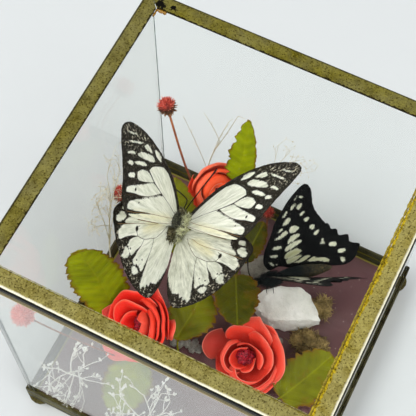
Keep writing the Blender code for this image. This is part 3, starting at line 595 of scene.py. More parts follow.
# %% Drawing of the dark wings
DARK_SPOTS = (
    ((0.4, 5.3), (-0.6, 5.0), (-1.8, 3.6), (-1.4, 3.1), (-0.5, 3.9)),
    ((-2.8, 3.0), (-2.7, 3.5), (-3.3, 3.6), (-3.3, 3.1)),
    ((-0.8, 7.6), (-0.9, 8.2), (-3.5, 7.9), (-4.0, 7.3), (-3.7, 6.7), (-2.2, 7.0)),
    ((-2.2, 10.9), (-2.6, 11.6), (-4.6, 11.9), (-6.2, 11.4), (-6.4, 10.6), (-4.5, 10.3)),
    ((-3.9, 15.0), (-4.6, 15.6), (-6.6, 16.5), (-8.8, 18.0), (-10.0, 17.8), (-10.2, 16.7),
     (-8.4, 15.8), (-6.2, 14.9)),
    ((-5.6, 18.0), (-6.2, 18.6), (-7.3, 19.6), (-8.2, 19.6), (-8.3, 18.9), (-7.0, 18.3)),
    ((-8.6, 21.3), (-9.8, 22.6), (-11.4, 23.7), (-12.4, 23.6), (-12.3, 22.6), (-10.4, 20.8),
     (-9.0, 20.7)),
    ((-8.9, 24.6), (-9.6, 25.6), (-11.0, 26.8), (-11.6, 26.6), (-10.6, 25.2), (-9.2, 24.2)),
    ((-13.2, 27.2), (-13.6, 28.3), (-15.2, 29.4), (-15.8, 29.2), (-15.0, 27.9), (-13.6, 27.0)),
    ((-15.9, 27.2), (-16.6, 28.2), (-18.2, 29.0), (-18.8, 28.2), (-17.4, 26.6), (-16.2, 26.6)),
    ((-15.2, 31.0), (-16.2, 31.9), (-17.2, 32.9), (-16.8, 32.2), (-15.6, 31.1)),
    ((-17.6, 31.8), (-18.6, 32.4), (-19.4, 32.2), (-19.4, 31.5), (-18.4, 31.4)),
    ((-16.8, 23.8), (-17.4, 24.6), (-19.0, 25.2), (-19.2, 24.6), (-18.2, 23.8), (-17.2, 23.4)),
    ((-18.2, 21.2), (-19.0, 21.9), (-20.4, 22.0), (-20.7, 21.2), (-20.2, 20.2), (-19.2, 20.2)),
    ((-20.4, 17.0), (-20.8, 17.8), (-22.0, 18.1), (-22.8, 17.4), (-22.4, 16.2), (-21.2, 15.9)),
    ((-21.7, 13.6), (-22.4, 14.4), (-24.3, 15.0), (-24.6, 14.4), (-23.2, 13.1), (-22.2, 13.0)),
    ((-24.2, 8.2), (-24.8, 8.6), (-25.3, 9.9), (-26.0, 9.9), (-25.9, 8.8), (-26.6, 7.8),
     (-26.2, 7.4), (-25.0, 7.6)),
    ((-7.8, 8.8), (-8.2, 10.0), (-10.4, 11.4), (-13.0, 12.2), (-15.4, 12.2), (-15.9, 11.6),
     (-13.6, 10.4), (-10.8, 9.2), (-8.2, 8.4)),
    ((-9.4, 12.4), (-10.2, 13.8), (-12.0, 15.2), (-14.6, 15.4), (-15.5, 14.8), (-14.0, 13.6),
     (-11.4, 12.4), (-9.8, 11.8)),
    ((-11.2, 17.0), (-11.2, 18.6), (-12.2, 19.4), (-13.8, 19.6), (-15.2, 18.8), (-15.8, 18.0),
     (-14.4, 17.0), (-12.4, 16.3)),
    ((-28.2, 6.6), (-28.6, 7.3), (-30.4, 7.4), (-31.6, 6.6), (-31.4, 5.4), (-30.0, 5.2),
     (-28.6, 5.6)),
    ((-31.9, 1.6), (-32.2, 2.9), (-33.6, 3.2), (-35.4, 2.4), (-35.2, 1.2), (-33.6, 0.9)),
    ((-32.6, -1.6), (-33.0, -1.0), (-34.4, -1.6), (-34.7, -3.0), (-34.0, -3.8), (-33.0, -3.0)),
)
DARK_GREEN = (
    ((-7.0, 5.8), (-8.0, 7.4), (-10.5, 8.3), (-13.0, 8.8), (-14.6, 7.8), (-15.3, 6.6),
     (-13.5, 5.6), (-10.0, 4.8), (-7.6, 5.0)),
    ((-8.2, 2.2), (-7.8, 4.0), (-9.6, 4.6), (-12.0, 4.9), (-14.9, 4.9), (-14.4, 3.8),
     (-12.2, 2.8), (-10.2, 2.1)),
    ((-11.5, 1.8), (-13.5, 2.6), (-16.0, 3.6), (-17.6, 3.8), (-18.8, 3.2), (-17.4, 2.2),
     (-15.0, 1.4), (-12.5, 1.5)),
    ((-17.5, 1.1), (-20.0, 2.4), (-22.5, 1.4), (-25.0, 0.8), (-27.0, -0.4), (-27.4, -1.4),
     (-26.8, -2.0), (-24.0, -0.8), (-20.0, 0.2), (-18.0, 0.6)),
)
DARK_FOREWING = {
    "outline": ((1.1, 1.8), (2.7, 5.1), (2.3, 8.4), (1.2, 11.3), (-1.8, 16.5), (-5.3, 22.9),
                (-8.8, 27.1), (-13.1, 31.8), (-17.9, 35.6), (-20.7, 37.1), (-22.7, 36.5),
                (-23.7, 34.3), (-23.7, 31.0), (-23.5, 27.7), (-24.3, 23.9), (-26.2, 20.1),
                (-28.2, 16.5), (-29.3, 13.8), (-20.0, 9.0), (-10.0, 4.6), (-2.0, 1.8)),
    "patches": DARK_SPOTS, "warm_patches": DARK_GREEN,
    "marks": (), "veins": (),
}
DARK_HINDWING = {
    "outline": ((-4.0, 2.6), (-11.0, 8.0), (-20.0, 13.6), (-28.0, 16.4), (-29.5, 16.0),
                (-30.4, 13.5), (-32.7, 12.8), (-33.5, 9.8), (-37.5, 9.0), (-37.9, 5.3),
                (-42.4, 3.2), (-41.1, 0.0), (-39.6, -2.7), (-36.4, -4.7), (-32.7, -5.0),
                (-25.6, -3.6), (-18.0, -2.6), (-12.0, -1.2), (-6.0, 1.2)),
    "patches": DARK_SPOTS, "warm_patches": DARK_GREEN,
    "marks": (), "veins": (),
}
print("dark spots:", len(DARK_SPOTS), "green areas:", len(DARK_GREEN))

# %% [markdown]
# Twigs, antennae, stalks and fibres are all thin round things along a path. One curve
# object can hold hundreds of such paths, and its bevel makes them tubes in one go.
# Small repeated shapes are drawn once and copied to many places in one mesh.

# %% Tubes and repeated shapes
def strayed(rng, spread):
    """A random vector, even between -spread and spread on each axis."""
    return Vector([rng.uniform(-spread, spread) for _ in range(3)])


def scattered(rng, spread=1):
    """A random vector, bell-shaped round zero on each axis."""
    return Vector([rng.gauss(0, spread) for _ in range(3)])


def tag(bm, **values):
    """Store one number on every point of a bmesh, under each name."""
    for name, value in values.items():
        layer = bm.verts.layers.float.get(name) or bm.verts.layers.float.new(name)
        for vert in bm.verts:
            vert[layer] = value


def tubes(paths, sides_level):
    """A bmesh of capped tubes; each path is (points, radii), and level 0 gives 4 sides."""
    curve = bpy.data.curves.new("tubes", "CURVE")
    curve.dimensions = "3D"
    curve.bevel_depth = 1.0
    curve.bevel_resolution = sides_level
    curve.use_fill_caps = True
    for points, radii in paths:
        spline = curve.splines.new("POLY")
        spline.points.add(len(points) - 1)
        for place, (point, radius) in enumerate(zip(points, radii)):
            spline.points[place].co = (*point, 1.0)
            spline.points[place].radius = radius
    holder = bpy.data.objects.new("tubes", curve)
    bpy.context.scene.collection.objects.link(holder)
    graph = bpy.context.evaluated_depsgraph_get()
    mesh = bpy.data.meshes.new_from_object(holder.evaluated_get(graph))
    bm = bmesh.new()
    bm.from_mesh(mesh)
    bpy.data.objects.remove(holder, do_unlink=True)
    bmesh.ops.remove_doubles(bm, verts=bm.verts[:], dist=0.002)
    bmesh.ops.recalc_face_normals(bm, faces=bm.faces[:])
    return bm


def repeated(shape, places):
    """A bmesh with a copy of a small closed shape at each matrix."""
    shape.verts.index_update()
    corners = np.array([tuple(vert.co) + (1.0,) for vert in shape.verts])
    faces = np.array([[vert.index for vert in face.verts] for face in shape.faces])
    shape.free()
    points = np.concatenate([(corners @ np.array(place).T)[:, :3] for place in places])
    copies = np.concatenate([faces + len(corners) * row for row in range(len(places))])
    mesh = bpy.data.meshes.new("repeated")
    mesh.from_pydata(points.tolist(), [], copies.tolist())
    bm = bmesh.new()
    bm.from_mesh(mesh)
    bpy.data.meshes.remove(mesh)
    return bm


def spike(radius, length, sides=3):
    """A small cone along +Z from the origin, closed under."""
    bm = bmesh.new()
    bmesh.ops.create_cone(bm, cap_ends=True, segments=sides, radius1=radius, radius2=radius * 0.15,
                          depth=length)
    bmesh.ops.translate(bm, vec=(0, 0, length / 2), verts=bm.verts[:])
    bmesh.ops.triangulate(bm, faces=bm.faces[:])
    return bm


def ball(radii, subdivisions):
    bm = bmesh.new()
    bmesh.ops.create_icosphere(bm, subdivisions=subdivisions, radius=1.0)
    bmesh.ops.scale(bm, vec=radii, verts=bm.verts[:])
    return bm


# %% [markdown]
# A wing starts as one flat face. Bisecting it on a fine grid adds the points, extruding
# gives it a membrane's thickness, and a slight bow keeps it from looking like card. The
# margin is nibbled a little, as old wings are.

# %% Cutting a wing
WING_GRID = 0.45
VEIN_RADIUS = 0.17
MEMBRANE = 0.16
OUTSIDE = -9.0  # a distance that stands for nowhere near a patch or a vein


def wing_sheet(drawing, seed, fray):
    """A thin closed sheet of a wing's outline, with its pattern kept on its points."""
    bm = bmesh.new()
    rim = []
    for point in smooth_path([(x, y, 0.0) for x, y in drawing["outline"]], 6, closed=True):
        ragged = noise.noise(Vector((point.x * 1.3, point.y * 1.3, seed)))
        rim.append(bm.verts.new(point + Vector((point.x, point.y - 20, 0)).normalized() * ragged * fray))
    bm.faces.new(rim)
    span = [vert.co for vert in rim]
    for axis in (0, 1):
        normal = Vector((axis == 0, axis == 1, 0))
        cut = min(point[axis] for point in span) + WING_GRID / 2
        while cut < max(point[axis] for point in span):
            geometry = bm.verts[:] + bm.edges[:] + bm.faces[:]
            bmesh.ops.bisect_plane(bm, geom=geometry, plane_co=normal * cut, plane_no=normal)
            cut += WING_GRID
    keep_pattern(bm, drawing)
    made = bmesh.ops.extrude_face_region(bm, geom=bm.faces[:], use_keep_orig=True)
    raised = [item for item in made["geom"] if isinstance(item, bmesh.types.BMVert)]
    bmesh.ops.translate(bm, vec=(0, 0, MEMBRANE), verts=raised)
    bmesh.ops.recalc_face_normals(bm, faces=bm.faces[:])
    return bm


def keep_pattern(bm, drawing):
    """Store on each point its flat place and its distances to patches, veins and marks."""
    flat = np.array([vert.co[:2] for vert in bm.verts])
    light = drawing["patches"] + drawing.get("warm_patches", ())
    pale = np.max([patch_depth(flat, patch) for patch in light], axis=0)
    vein = np.full(len(flat), OUTSIDE)
    for path, start, end, _ in drawing["veins"]:
        vein = np.maximum(vein, vein_depth(flat, path, start, end))
    for centre, long_radius, wide_radius in drawing["marks"]:
        away = (flat - np.array(centre)) / np.array((long_radius, wide_radius))
        vein = np.maximum(vein, (1 - np.linalg.norm(away, axis=1)) * wide_radius)
    warm = np.full(len(flat), OUTSIDE)
    if "warm" in drawing:
        warm = patch_depth(flat, drawing["warm"])
    for patch in drawing.get("warm_patches", ()):
        warm = np.maximum(warm, patch_depth(flat, patch))
    dusty = patch_depth(flat, drawing["dusty"]) if "dusty" in drawing else np.full(len(flat), OUTSIDE)
    rim = patch_depth(flat, drawing["outline"])
    layers = {"pale": pale, "vein": vein, "warm": warm, "dusty": dusty, "margin": rim}
    for name, values in layers.items():
        layer = bm.verts.layers.float.new(name)
        for vert, value in zip(bm.verts, values):
            vert[layer] = float(value)
    place = bm.verts.layers.float_vector.new("flat")
    for vert in bm.verts:
        vert[place] = vert.co


# %% [markdown]
# Under a lens a wing is shingled with scales that run out from its root, so fine streaks
# follow that direction. The pale wing is warmer in its cells and greyer near the body;
# its black parts carry worn flecks. The dark wing is velvety black, with little gloss.

# %% Wing finishes
def wing_finish(name, cream, shade, warm, warm_share, black, fleck, gloss):
    made, tree, shader = new_material(name)
    flat = attribute(tree, "flat", "Vector")
    run = add(tree, "SeparateXYZ", Vector=flat)
    far = add(tree, "VectorMath", {"operation": "LENGTH"})
    tree.links.new(flat, far.inputs[0])
    reach = far.outputs["Value"]
    angle = maths(tree, "ARCTAN2", run.outputs["X"], run.outputs["Y"])
    ray = add(tree, "CombineXYZ", X=times(tree, angle, 34.0),
              Y=times(tree, reach, 0.25)).outputs["Vector"]
    streak = noise_of(tree, ray, 1.0, 4.0, 0.6)
    wobble = minus(tree, noise_of(tree, flat, 1.1, 4.0, 0.65), 0.5)
    wobble = plus(tree, times(tree, wobble, 1.5), times(tree, minus(tree, streak, 0.5), 1.2))
    edge = plus(tree, attribute(tree, "pale"), wobble)
    pale = ramp(tree, edge, -0.2, 0.25)
    vein = ramp(tree, plus(tree, attribute(tree, "vein"), times(tree, wobble, 0.25)), -0.12, 0.16)
    folds = add(tree, "CombineXYZ", X=times(tree, angle, 12.0),
                Y=times(tree, reach, 0.06)).outputs["Vector"]
    tone = plus(tree, times(tree, streak, 0.5), times(tree, noise_of(tree, folds, 1.0, 3.0), 0.5))
    light = mix(tree, ramp(tree, tone, 0.36, 0.58), shade, cream)
    warmth = times(tree, ramp(tree, attribute(tree, "warm"), -1.2, 2.2), warm_share)
    light = mix(tree, warmth, light, warm)
    # Darker fold lines: painted shade in the wing's creases.
    crease_shade = ramp(tree, noise_of(tree, folds, 2.2, 2.0, 0.4), 0.56, 0.70, 0.0, 0.5)
    light = mix(tree, times(tree, crease_shade, ramp(tree, reach, 8.0, 20.0)), light, toned(shade, 0.72))
    root = times(tree, ramp(tree, reach, 3.0, 15.0, 0.75, 0.0), ramp(tree, tone, 0.62, 0.4))
    light = mix(tree, root, light, rgb(132, 132, 112))
    dark = mix(tree, noise_of(tree, flat, 0.8, 3.0), black, toned(black, 2.2))
    dark = mix(tree, attribute(tree, "brown"), dark, rgb(136, 104, 62))
    worn = maths(tree, "MAXIMUM", ramp(tree, noise_of(tree, ray, 0.9, 5.0, 0.75), 0.60, 0.64),
                 ramp(tree, noise_of(tree, flat, 0.8, 5.0, 0.75), 0.57, 0.61))
    worn = times(tree, worn, ramp(tree, attribute(tree, "dusty"), -1.5, 1.0, 0.16, 1.0))
    dark = mix(tree, times(tree, worn, fleck), dark, rgb(214, 206, 182))
    colour = mix(tree, times(tree, pale, minus(tree, 1.0, vein)), dark, light)
    wire(tree, shader, colour, 0.62, plus(tree, vein, times(tree, streak, 0.7)),
         0.00012, 0.45)
    set_on(shader, Specular_IOR_Level=gloss)
    return made


PALE_WING = wing_finish("pale_wing_scales", rgb(240, 240, 226), rgb(202, 204, 184),
                        rgb(238, 230, 182), 0.6, rgb(20, 16, 10), 0.9, 0.12)
# A greyer copy of the pale finish for the right hindwing: painted shade.
SHADED_WING = wing_finish("shaded_wing_scales", rgb(222, 222, 206), rgb(166, 168, 148),
                          rgb(222, 212, 160), 0.6, rgb(20, 16, 10), 0.9, 0.12)
DARK_WING = wing_finish("dark_wing_scales", rgb(224, 224, 200), rgb(196, 198, 170),
                        rgb(160, 160, 104), 0.95, rgb(5, 6, 7), 0.05, 0.06)

# %% [markdown]
# Each wing hinges on the body. Raising turns it up from flat, and sweeping turns it in its
# own plane. Two old wings never dry quite alike, so each also has a small arch of its
# front edge and a splay of its outer edge, read from the photograph.

# %% Where the wings lie
PALE_HINGE = Vector((-27.9, 13.9, 68.0))
PALE_AXES = (Vector((-0.156, 0.957, -0.246)), Vector((-0.978, -0.114, 0.177)),
             Vector((0.141, 0.268, 0.953)))
DARK_HINGE = Vector((10.9, 26.3, 35.0))
DARK_AXES = (Vector((-0.737, -0.675, 0.032)), Vector((0.664, -0.715, 0.219)),
             Vector((-0.125, 0.183, 0.975)))


def raised_wing(hinge, axes, side, raised, swept, root):
    """The hinge point and the forward, outward and upper directions of a wing.

    side is 1 for the left wing and -1 for the right; root moves it (forward, outward).
    """
    forward, left, up = axes
    raised, swept = math.radians(raised), math.radians(swept)
    outward = side * math.cos(raised) * left + math.sin(raised) * up
    upper = math.cos(raised) * up - side * math.sin(raised) * left
    along = math.cos(swept) * forward + math.sin(swept) * outward
    across = -math.sin(swept) * forward + math.cos(swept) * outward
    return hinge + root[0] * forward + root[1] * outward, along, across, upper


def bowed(point, reach, lift, camber, own):
    """Where a point of a flat wing lies, with the bow and the wing's own small differences."""
    arch, splay, twist, shift = own
    x, y, z = point
    bow = math.sin(math.pi * min(max(y / reach, 0.0), 1.0))
    ripple = 0.10 * noise.noise(Vector((x * 0.16, y * 0.16, 3.0)))
    forward = x + arch * bow * min(max((x - 9) / 11, -0.7), 1.0) + shift[0] + twist * y
    outward = y + splay * (10 - x) / 20 * max(y, 0.0) / 50 + shift[1] - twist * x
    return Vector((forward, outward, z + camber * bow + ripple + lift))


def set_wing(name, drawing, place, under, camber, own, look):
    """Bow a wing sheet, lay its raised veins in it and set it on its hinge."""
    bm = wing_sheet(drawing, sum(map(ord, name)), 0.35)
    shape = (max(y for x, y in drawing["outline"]), 0.12 - under, camber, own)
    for vert in bm.verts:
        vert.co = bowed(vert.co, *shape)
    for path, _, _, brown in drawing["veins"]:
        line = smooth_path([(x, y, MEMBRANE / 2) for x, y in path], 6)
        vein = tubes((([bowed(point, *shape) for point in line], [VEIN_RADIUS] * len(line)),), 0)
        tag(vein, pale=OUTSIDE, vein=-OUTSIDE, warm=OUTSIDE, dusty=OUTSIDE, brown=brown)
        join(bm, vein)
    bm = shifted(bm, frame_at(*place))
    bmesh.ops.recalc_face_normals(bm, faces=bm.faces[:])
    return finish(name + "_scaled", bm, look, (name,), sharp_angle=60.0)


PALE_PAIRS = (
    ("forewing_left", PALE_FOREWING, 1, 52.5, 9.1, (-0.5, 0.8), 0.0, (-1.4, 2.4, 0.0, (0.0, 0.0))),
    ("forewing_right", PALE_FOREWING, -1, 49.3, -8.0, (0.2, 1.0), 0.0, (1.4, -2.2, 0.0, (0.0, 0.0))),
    ("hindwing_left", PALE_HINDWING, 1, 42.4, 12.1, (3.5, 2.1), 0.3, (0.0, 0.0, 0.0, (0.0, 0.0))),
    ("hindwing_right", PALE_HINDWING, -1, 42.6, -12.1, (-4.1, -0.5), 0.3, (0.0, 0.0, -0.11, (0.9, 1.5))),
)
for name, drawing, side, raised, swept, root, under, own in PALE_PAIRS:
    place = raised_wing(PALE_HINGE, PALE_AXES, side, raised, swept, root)
    # The right hindwing takes the greyer copy: painted shade.
    look = SHADED_WING if name == "hindwing_right" else PALE_WING
    set_wing("white_" + name, drawing, place, under, 0.8, own, look)

DARK_RIGHT = raised_wing(DARK_HINGE, DARK_AXES, -1, 57.0, 0.0, (0.0, 0.0))
DARK_LEFT = (Vector((11.7, 24.6, 34.8)), Vector((-0.894, -0.449, 0.0)),
             Vector((0.213, -0.424, 0.880)), Vector((-0.395, 0.787, 0.474)))
for side, place in (("left", DARK_LEFT), ("right", DARK_RIGHT)):
    for part, drawing, under in (("forewing", DARK_FOREWING, 0.0), ("hindwing", DARK_HINDWING, 0.8)):
        set_wing(f"dark_{part}_{side}", drawing, place, under, 0.6, (0.0, 0.0, 0.0, (0.0, 0.0)),
                 DARK_WING)

# %% [markdown]
# A butterfly's thorax is densely furred. Fine cones stand on the body and lie back
# towards the tail, so the outline is soft but still made of real geometry. The colour
# varies from hair to hair with a noise in the material.

# %% The insects' bodies
def hair_finish(name, dark, middle, light):
    made, tree, shader = new_material(name)
    place = coordinates(tree)
    coarse = noise_of(tree, place, 420.0, 3.0, 0.6)
    fine = noise_of(tree, place, 2600.0, 2.0, 0.5)
    base = mix(tree, ramp(tree, coarse, 0.40, 0.56), dark, middle)
    colour = mix(tree, ramp(tree, fine, 0.50, 0.66), base, light)
    colour = mix(tree, attribute(tree, "fade"), colour, rgb(8, 18, 19))
    wire(tree, shader, colour, 0.7, fine, 0.0002, 0.4)
    set_on(shader, Specular_IOR_Level=0.2)
    return made


PALE_HAIR = hair_finish("pale_hair", rgb(78, 78, 50), rgb(196, 198, 152), rgb(250, 248, 222))
BLUE_HAIR = hair_finish("blue_black_hair", rgb(3, 5, 7), rgb(14, 22, 28), rgb(150, 150, 122))
DARK_HAIR = hair_finish("dark_hair", rgb(3, 7, 8), rgb(10, 22, 23), rgb(30, 42, 40))
TAN_SCALES = hair_finish("tan_scales", rgb(14, 20, 18), rgb(46, 46, 32), rgb(116, 98, 62))
BROWN_HAIR = hair_finish("brown_hair", rgb(14, 12, 8), rgb(64, 58, 34), rgb(176, 168, 124))
BLACK_HORN = hair_finish("black_horn", rgb(10, 9, 8), rgb(20, 16, 14), rgb(40, 32, 26))


def in_axes(hinge, axes, point):
    return hinge + sum((value * axis for value, axis in zip(point, axes)), Vector())


def furred(bm, hinge, axes, centre, radii, count, length, seed, lie=0.9, thick=0.055):
    """An egg-shaped part of the body with hairs that lie back towards the tail."""
    egg = shifted(ball(radii, 3), frame_at(in_axes(hinge, axes, centre), *axes))
    join(bm, egg)
    rng = random.Random(seed)
    places = []
    for _ in range(count):
        height = rng.uniform(-1, 1)
        turn = rng.uniform(0, math.tau)
        round_ = math.sqrt(1 - height * height)
        unit = Vector((height, round_ * math.cos(turn), round_ * math.sin(turn)))
        point = in_axes(hinge, axes, Vector(centre) + Vector(a * b for a, b in zip(unit, radii)) * 0.97)
        out = Vector(a / b for a, b in zip(unit, radii)).normalized()
        out += Vector((-lie * (1 - unit.x * 0.5), 0, 0))
        out += strayed(rng, 0.4)
        direction = sum((value * axis for value, axis in zip(out, axes)), Vector())
        size = length * rng.uniform(0.6, 1.2)
        places.append(facing(point, direction) @ Matrix.Diagonal((size, size, size, 1)))
    join(bm, repeated(spike(thick, 1.0), places))


FEELER_RADIUS = 0.27
CLUB_START = 0.78


def clubbed(points):
    """An antenna: hair-thin with a club at its end."""
    path = smooth_path(points, CURVE_STEPS)
    last = len(path) - 1
    club = [max(0.0, (step / last - CLUB_START) / (1 - CLUB_START)) for step in range(last + 1)]
    radii = [FEELER_RADIUS + 0.34 * share ** 1.5 for share in club]
    radii[-1] = FEELER_RADIUS
    return path, radii


def leg(root, foot, knee):
    path = smooth_path((root, (Vector(root) + Vector(foot)) / 2 + Vector((0, 0, knee)), foot), 3)
    return path, [0.3 - 0.2 * step / len(path) for step in range(len(path))]


PALE_PARTS = (
    ("thorax", BLUE_HAIR, (-0.2, 3.6, 2.6), (5.0, 3.5, 4.0), 900, 1.5, 0.9, 0.11),
    ("tufts", PALE_HAIR, (-0.8, -1.0, 2.4), (7.2, 2.1, 2.8), 700, 1.8, 0.6, 0.13),
    ("waist", BROWN_HAIR, (-5.2, 3.2, 1.6), (4.6, 3.0, 3.2), 500, 1.9, 0.7, 0.12),
    ("head", BROWN_HAIR, (8.7, 2.2, 0.5), (1.8, 2.1, 1.6), 380, 0.9, 0.4, 0.08),
    ("abdomen", BROWN_HAIR, (-14.0, 1.2, -3.4), (9.8, 1.6, 1.6), 700, 0.9, 1.6, 0.08),
)
for place, (part, look, centre, radii, count, length, lie, thick) in enumerate(PALE_PARTS):
    coat = bmesh.new()
    furred(coat, PALE_HINGE, PALE_AXES, centre, radii, count, length, place + 1, lie, thick)
    finish("white_butterfly_" + part, coat, look,
           ("white_butterfly_body",) if part == "thorax" else ())
eyes = bmesh.new()
for sign in (1, -1):
    join(eyes, shifted(ball((0.8, 0.65, 0.8), 2),
                       frame_at(in_axes(PALE_HINGE, PALE_AXES, (9.6, 1.9 + sign * 1.6, 0.6)), *PALE_AXES)))
finish("white_butterfly_eyes", eyes, BLACK_HORN)
brow = in_axes(PALE_HINGE, PALE_AXES, (10.2, 1.0, 1.2))
pale_limbs = [clubbed((brow + Vector((-0.4, 0, 0)), (-30.4, 26.2, 71.0), (-33.1, 26.9, 73.0),
                       (-36.0, 27.3, 74.0), (-37.8, 27.7, 75.0))),
              clubbed((brow + Vector((0.5, 0, 0)), (-28.3, 25.7, 71.6), (-26.9, 31.3, 74.0),
                       (-25.4, 37.0, 76.0), (-24.1, 42.1, 78.0)))]
for start, sign, foot in ((2.5, 1, (-30.5, 17.5, 63.2)), (2.5, -1, (-25.3, 17.5, 63.2)),
                          (0.0, 1, (-30.2, 12.5, 63.6)), (0.0, -1, (-25.0, 12.0, 63.6))):
    pale_limbs.append(leg(in_axes(PALE_HINGE, PALE_AXES, (start, sign * 1.2, -2.2)), foot, 0.8))
finish("white_butterfly_limbs", tubes(pale_limbs, 1), BLACK_HORN)

DARK_BODY = (Vector((12.2, 24.3, 33.0)), (Vector((-0.80, -0.60, 0.0)), Vector((0.60, -0.80, 0.0)),
                                          Vector((0.0, 0.0, 1.0))))
dark_body = bmesh.new()
furred(dark_body, *DARK_BODY, (0.4, 0.2, 0.8), (5.2, 3.1, 3.2), 1300, 1.5, 4)
furred(dark_body, *DARK_BODY, (7.0, 0.2, 0.3), (2.0, 1.9, 1.9), 300, 0.9, 5)
finish("dark_butterfly_fur", dark_body, DARK_HAIR, ("dark_butterfly_body",))
tail = bmesh.new()
bmesh.ops.create_uvsphere(tail, u_segments=24, v_segments=60, radius=1.0)
tag(tail, fade=0.0)
for vert in tail.verts:
    along = vert.co.z
    vert[tail.verts.layers.float["fade"]] = min(max(0.75 + 1.2 * along, 0.0), 1.0)
    girdle = 1 - 0.05 * math.cos(along * 9 * math.pi) ** 8
    taper = 1.0 - 0.25 * max(-along, 0.0)
    vert.co = (along * 12.8, vert.co.x * 3.3 * girdle * taper, vert.co.y * 3.0 * girdle * taper)
shifted(tail, frame_at(in_axes(*DARK_BODY, (-14.8, -0.6, 1.4)), *DARK_BODY[1]))
finish("dark_butterfly_abdomen", tail, TAN_SCALES)
dark_limbs = [clubbed(((6.9, 19.6, 33.3), (2.5, 21.0, 36.5), (-0.5, 25.5, 40.0))),
              clubbed(((7.3, 18.9, 33.3), (4.0, 15.5, 36.0), (2.0, 12.5, 38.0)))]
for start, sign, foot in ((2.5, 1, (12.5, 18.8, 29.6)), (2.5, -1, (6.0, 24.8, 29.6)),
                          (0.0, 1, (15.5, 20.0, 29.6)), (0.0, -1, (8.5, 28.0, 29.6))):
    dark_limbs.append(leg(in_axes(*DARK_BODY, (start, sign * 1.2, -1.0)), foot, 0.8))
finish("dark_butterfly_limbs", tubes(dark_limbs, 1), BLACK_HORN)

# %% [markdown]
# The roses are made of soft, slightly rubbery petals. A petal is a grid bent round the
# axis: its foot stands near the heart, its belly sets how far the cup swells and its rim
# opens or closes. Petals on the near side close over the heart and show their backs; the
# far ones lean open. Each is listed by the direction that it faces.

# %% The rose finish
def rose_finish(name, deep, inner, back, pale):
    """Petals in an inner and a back tone, darker at the foot as painted shade, with a painted highlight on
    the rim.
    """
    made, tree, shader = new_material(name)
    place = coordinates(tree)
    rim = attribute(tree, "rim")
    ring = attribute(tree, "ring")
    # Faces and backs darker towards the foot: painted shade in the cup.
    faces = mix(tree, ramp(tree, rim, 0.1, 0.7), deep, inner)
    backs = mix(tree, ramp(tree, rim, 0.2, 0.8), toned(back, 0.6), back)
    body = mix(tree, attribute(tree, "back"), faces, backs)
    body = mix(tree, times(tree, masked(tree, PATCHES, place, Scale=110.0), 0.3), body,
               toned(back, 1.15))
    body = mix(tree, ramp(tree, ring, 0.75, 1.0, 0.0, 0.55), body, rgb(162, 48, 40))
    body = mix(tree, ramp(tree, ring, 0.0, -1.0, 0.0, 0.6), body, toned(pale, 0.9))
    # The pale rim is a painted highlight.
    edge = ramp(tree, rim, 0.962, 0.985, 0.0, 0.8)
    colour = mix(tree, edge, body, pale)
    crumple = noise_of(tree, place, 1300.0, 4.0, 0.7)
    heart = mix(tree, ramp(tree, crumple, 0.38, 0.6), rgb(60, 6, 16), rgb(176, 34, 52))
    colour = mix(tree, attribute(tree, "heart"), colour, heart)
    wire(tree, shader, colour, 0.5, crumple, 0.0001, 0.15)
    set_on(shader, Specular_IOR_Level=0.2, Subsurface_Weight=0.1, Subsurface_Scale=0.5,
           Subsurface_Radius=(0.003, 0.0006, 0.0004))
    return made


ROSES = {
    "rose_front": rose_finish("brick_petal", rgb(176, 30, 24), rgb(230, 60, 42), rgb(230, 80, 62),
                              rgb(244, 136, 114)),
    "rose_left": rose_finish("red_petal", rgb(160, 0, 4), rgb(232, 22, 12), rgb(242, 66, 44),
                             rgb(246, 130, 108)),
    "rose_back": rose_finish("coral_petal", rgb(216, 40, 0), rgb(250, 70, 12), rgb(250, 88, 46),
                             rgb(252, 156, 128)),
}
PETAL_THICK = 0.24
DRAWN_RADIUS = 17.0  # the rose that the thickness is drawn for
PETAL_FOOT = -0.5
CRUMPLE_SCALE, CRUMPLE_DEPTH = 2.6, 0.045

# %% Petals and roses
def petal(phase, turn, spread, belly, rim, high, skew, point, ring):
    """One petal of a rose of radius 1 about local +Z; angles in degrees.

    skew opens the rim on one side more than the other and point draws out its middle.
    """
    bm = bmesh.new()
    bmesh.ops.create_grid(bm, x_segments=24, y_segments=14, size=1.0)
    tag(bm, rim=0.0, ring=ring, heart=0.0, back=0.0)
    rim_layer = bm.verts.layers.float["rim"]
    back_layer = bm.verts.layers.float["back"]
    made = bmesh.ops.extrude_face_region(bm, geom=bm.faces[:], use_keep_orig=True)
    backs = {item for item in made["geom"] if isinstance(item, bmesh.types.BMVert)}
    turn, spread = math.radians(turn), math.radians(spread)
    for vert in bm.verts:
        u, v = vert.co.x, (vert.co.y + 1) / 2
        round_ = 1 - 0.16 * abs(u) ** 3
        edge = rim * (1 + skew * u) * round_ + point * (1 - abs(u)) ** 2
        swell = 2 * belly * round_ - (0.08 + edge) / 2
        radius = (1 - v) ** 2 * 0.08 + 2 * v * (1 - v) * swell + v * v * edge
        radius += 0.018 * math.sin(4.0 * u + phase) * v ** 3 + 0.05 * v ** 10
        height = PETAL_FOOT + (high - PETAL_FOOT) * math.sin(v * math.pi / 2)
        height -= 0.30 * abs(u) ** 2.6 * v
        height += 0.02 * math.sin(5.0 * u + 2 * phase) * v * v - 0.04 * v ** 12
        vert[rim_layer] = max(v, abs(u) ** 6 * (0.5 + 0.5 * v))
        if vert in backs:
            radius += PETAL_THICK / DRAWN_RADIUS
            vert[back_layer] = 1.0
        angle = turn + spread * u * (0.5 + 0.5 * math.sqrt(v))
        vert.co = (radius * math.cos(angle), radius * math.sin(angle), height)
    bmesh.ops.recalc_face_normals(bm, faces=bm.faces[:])
    return bm


CRUMPLE_SHIFTS = (Vector((9.3, -1.5, -8.0)), Vector((0.0, 0.0, 0.0)), Vector((6.3, 11.1, -3.2)))


def crumple_at(point):
    """A small push in all three directions, the same in every run."""
    return Vector([noise.noise(point + shift) for shift in CRUMPLE_SHIFTS])


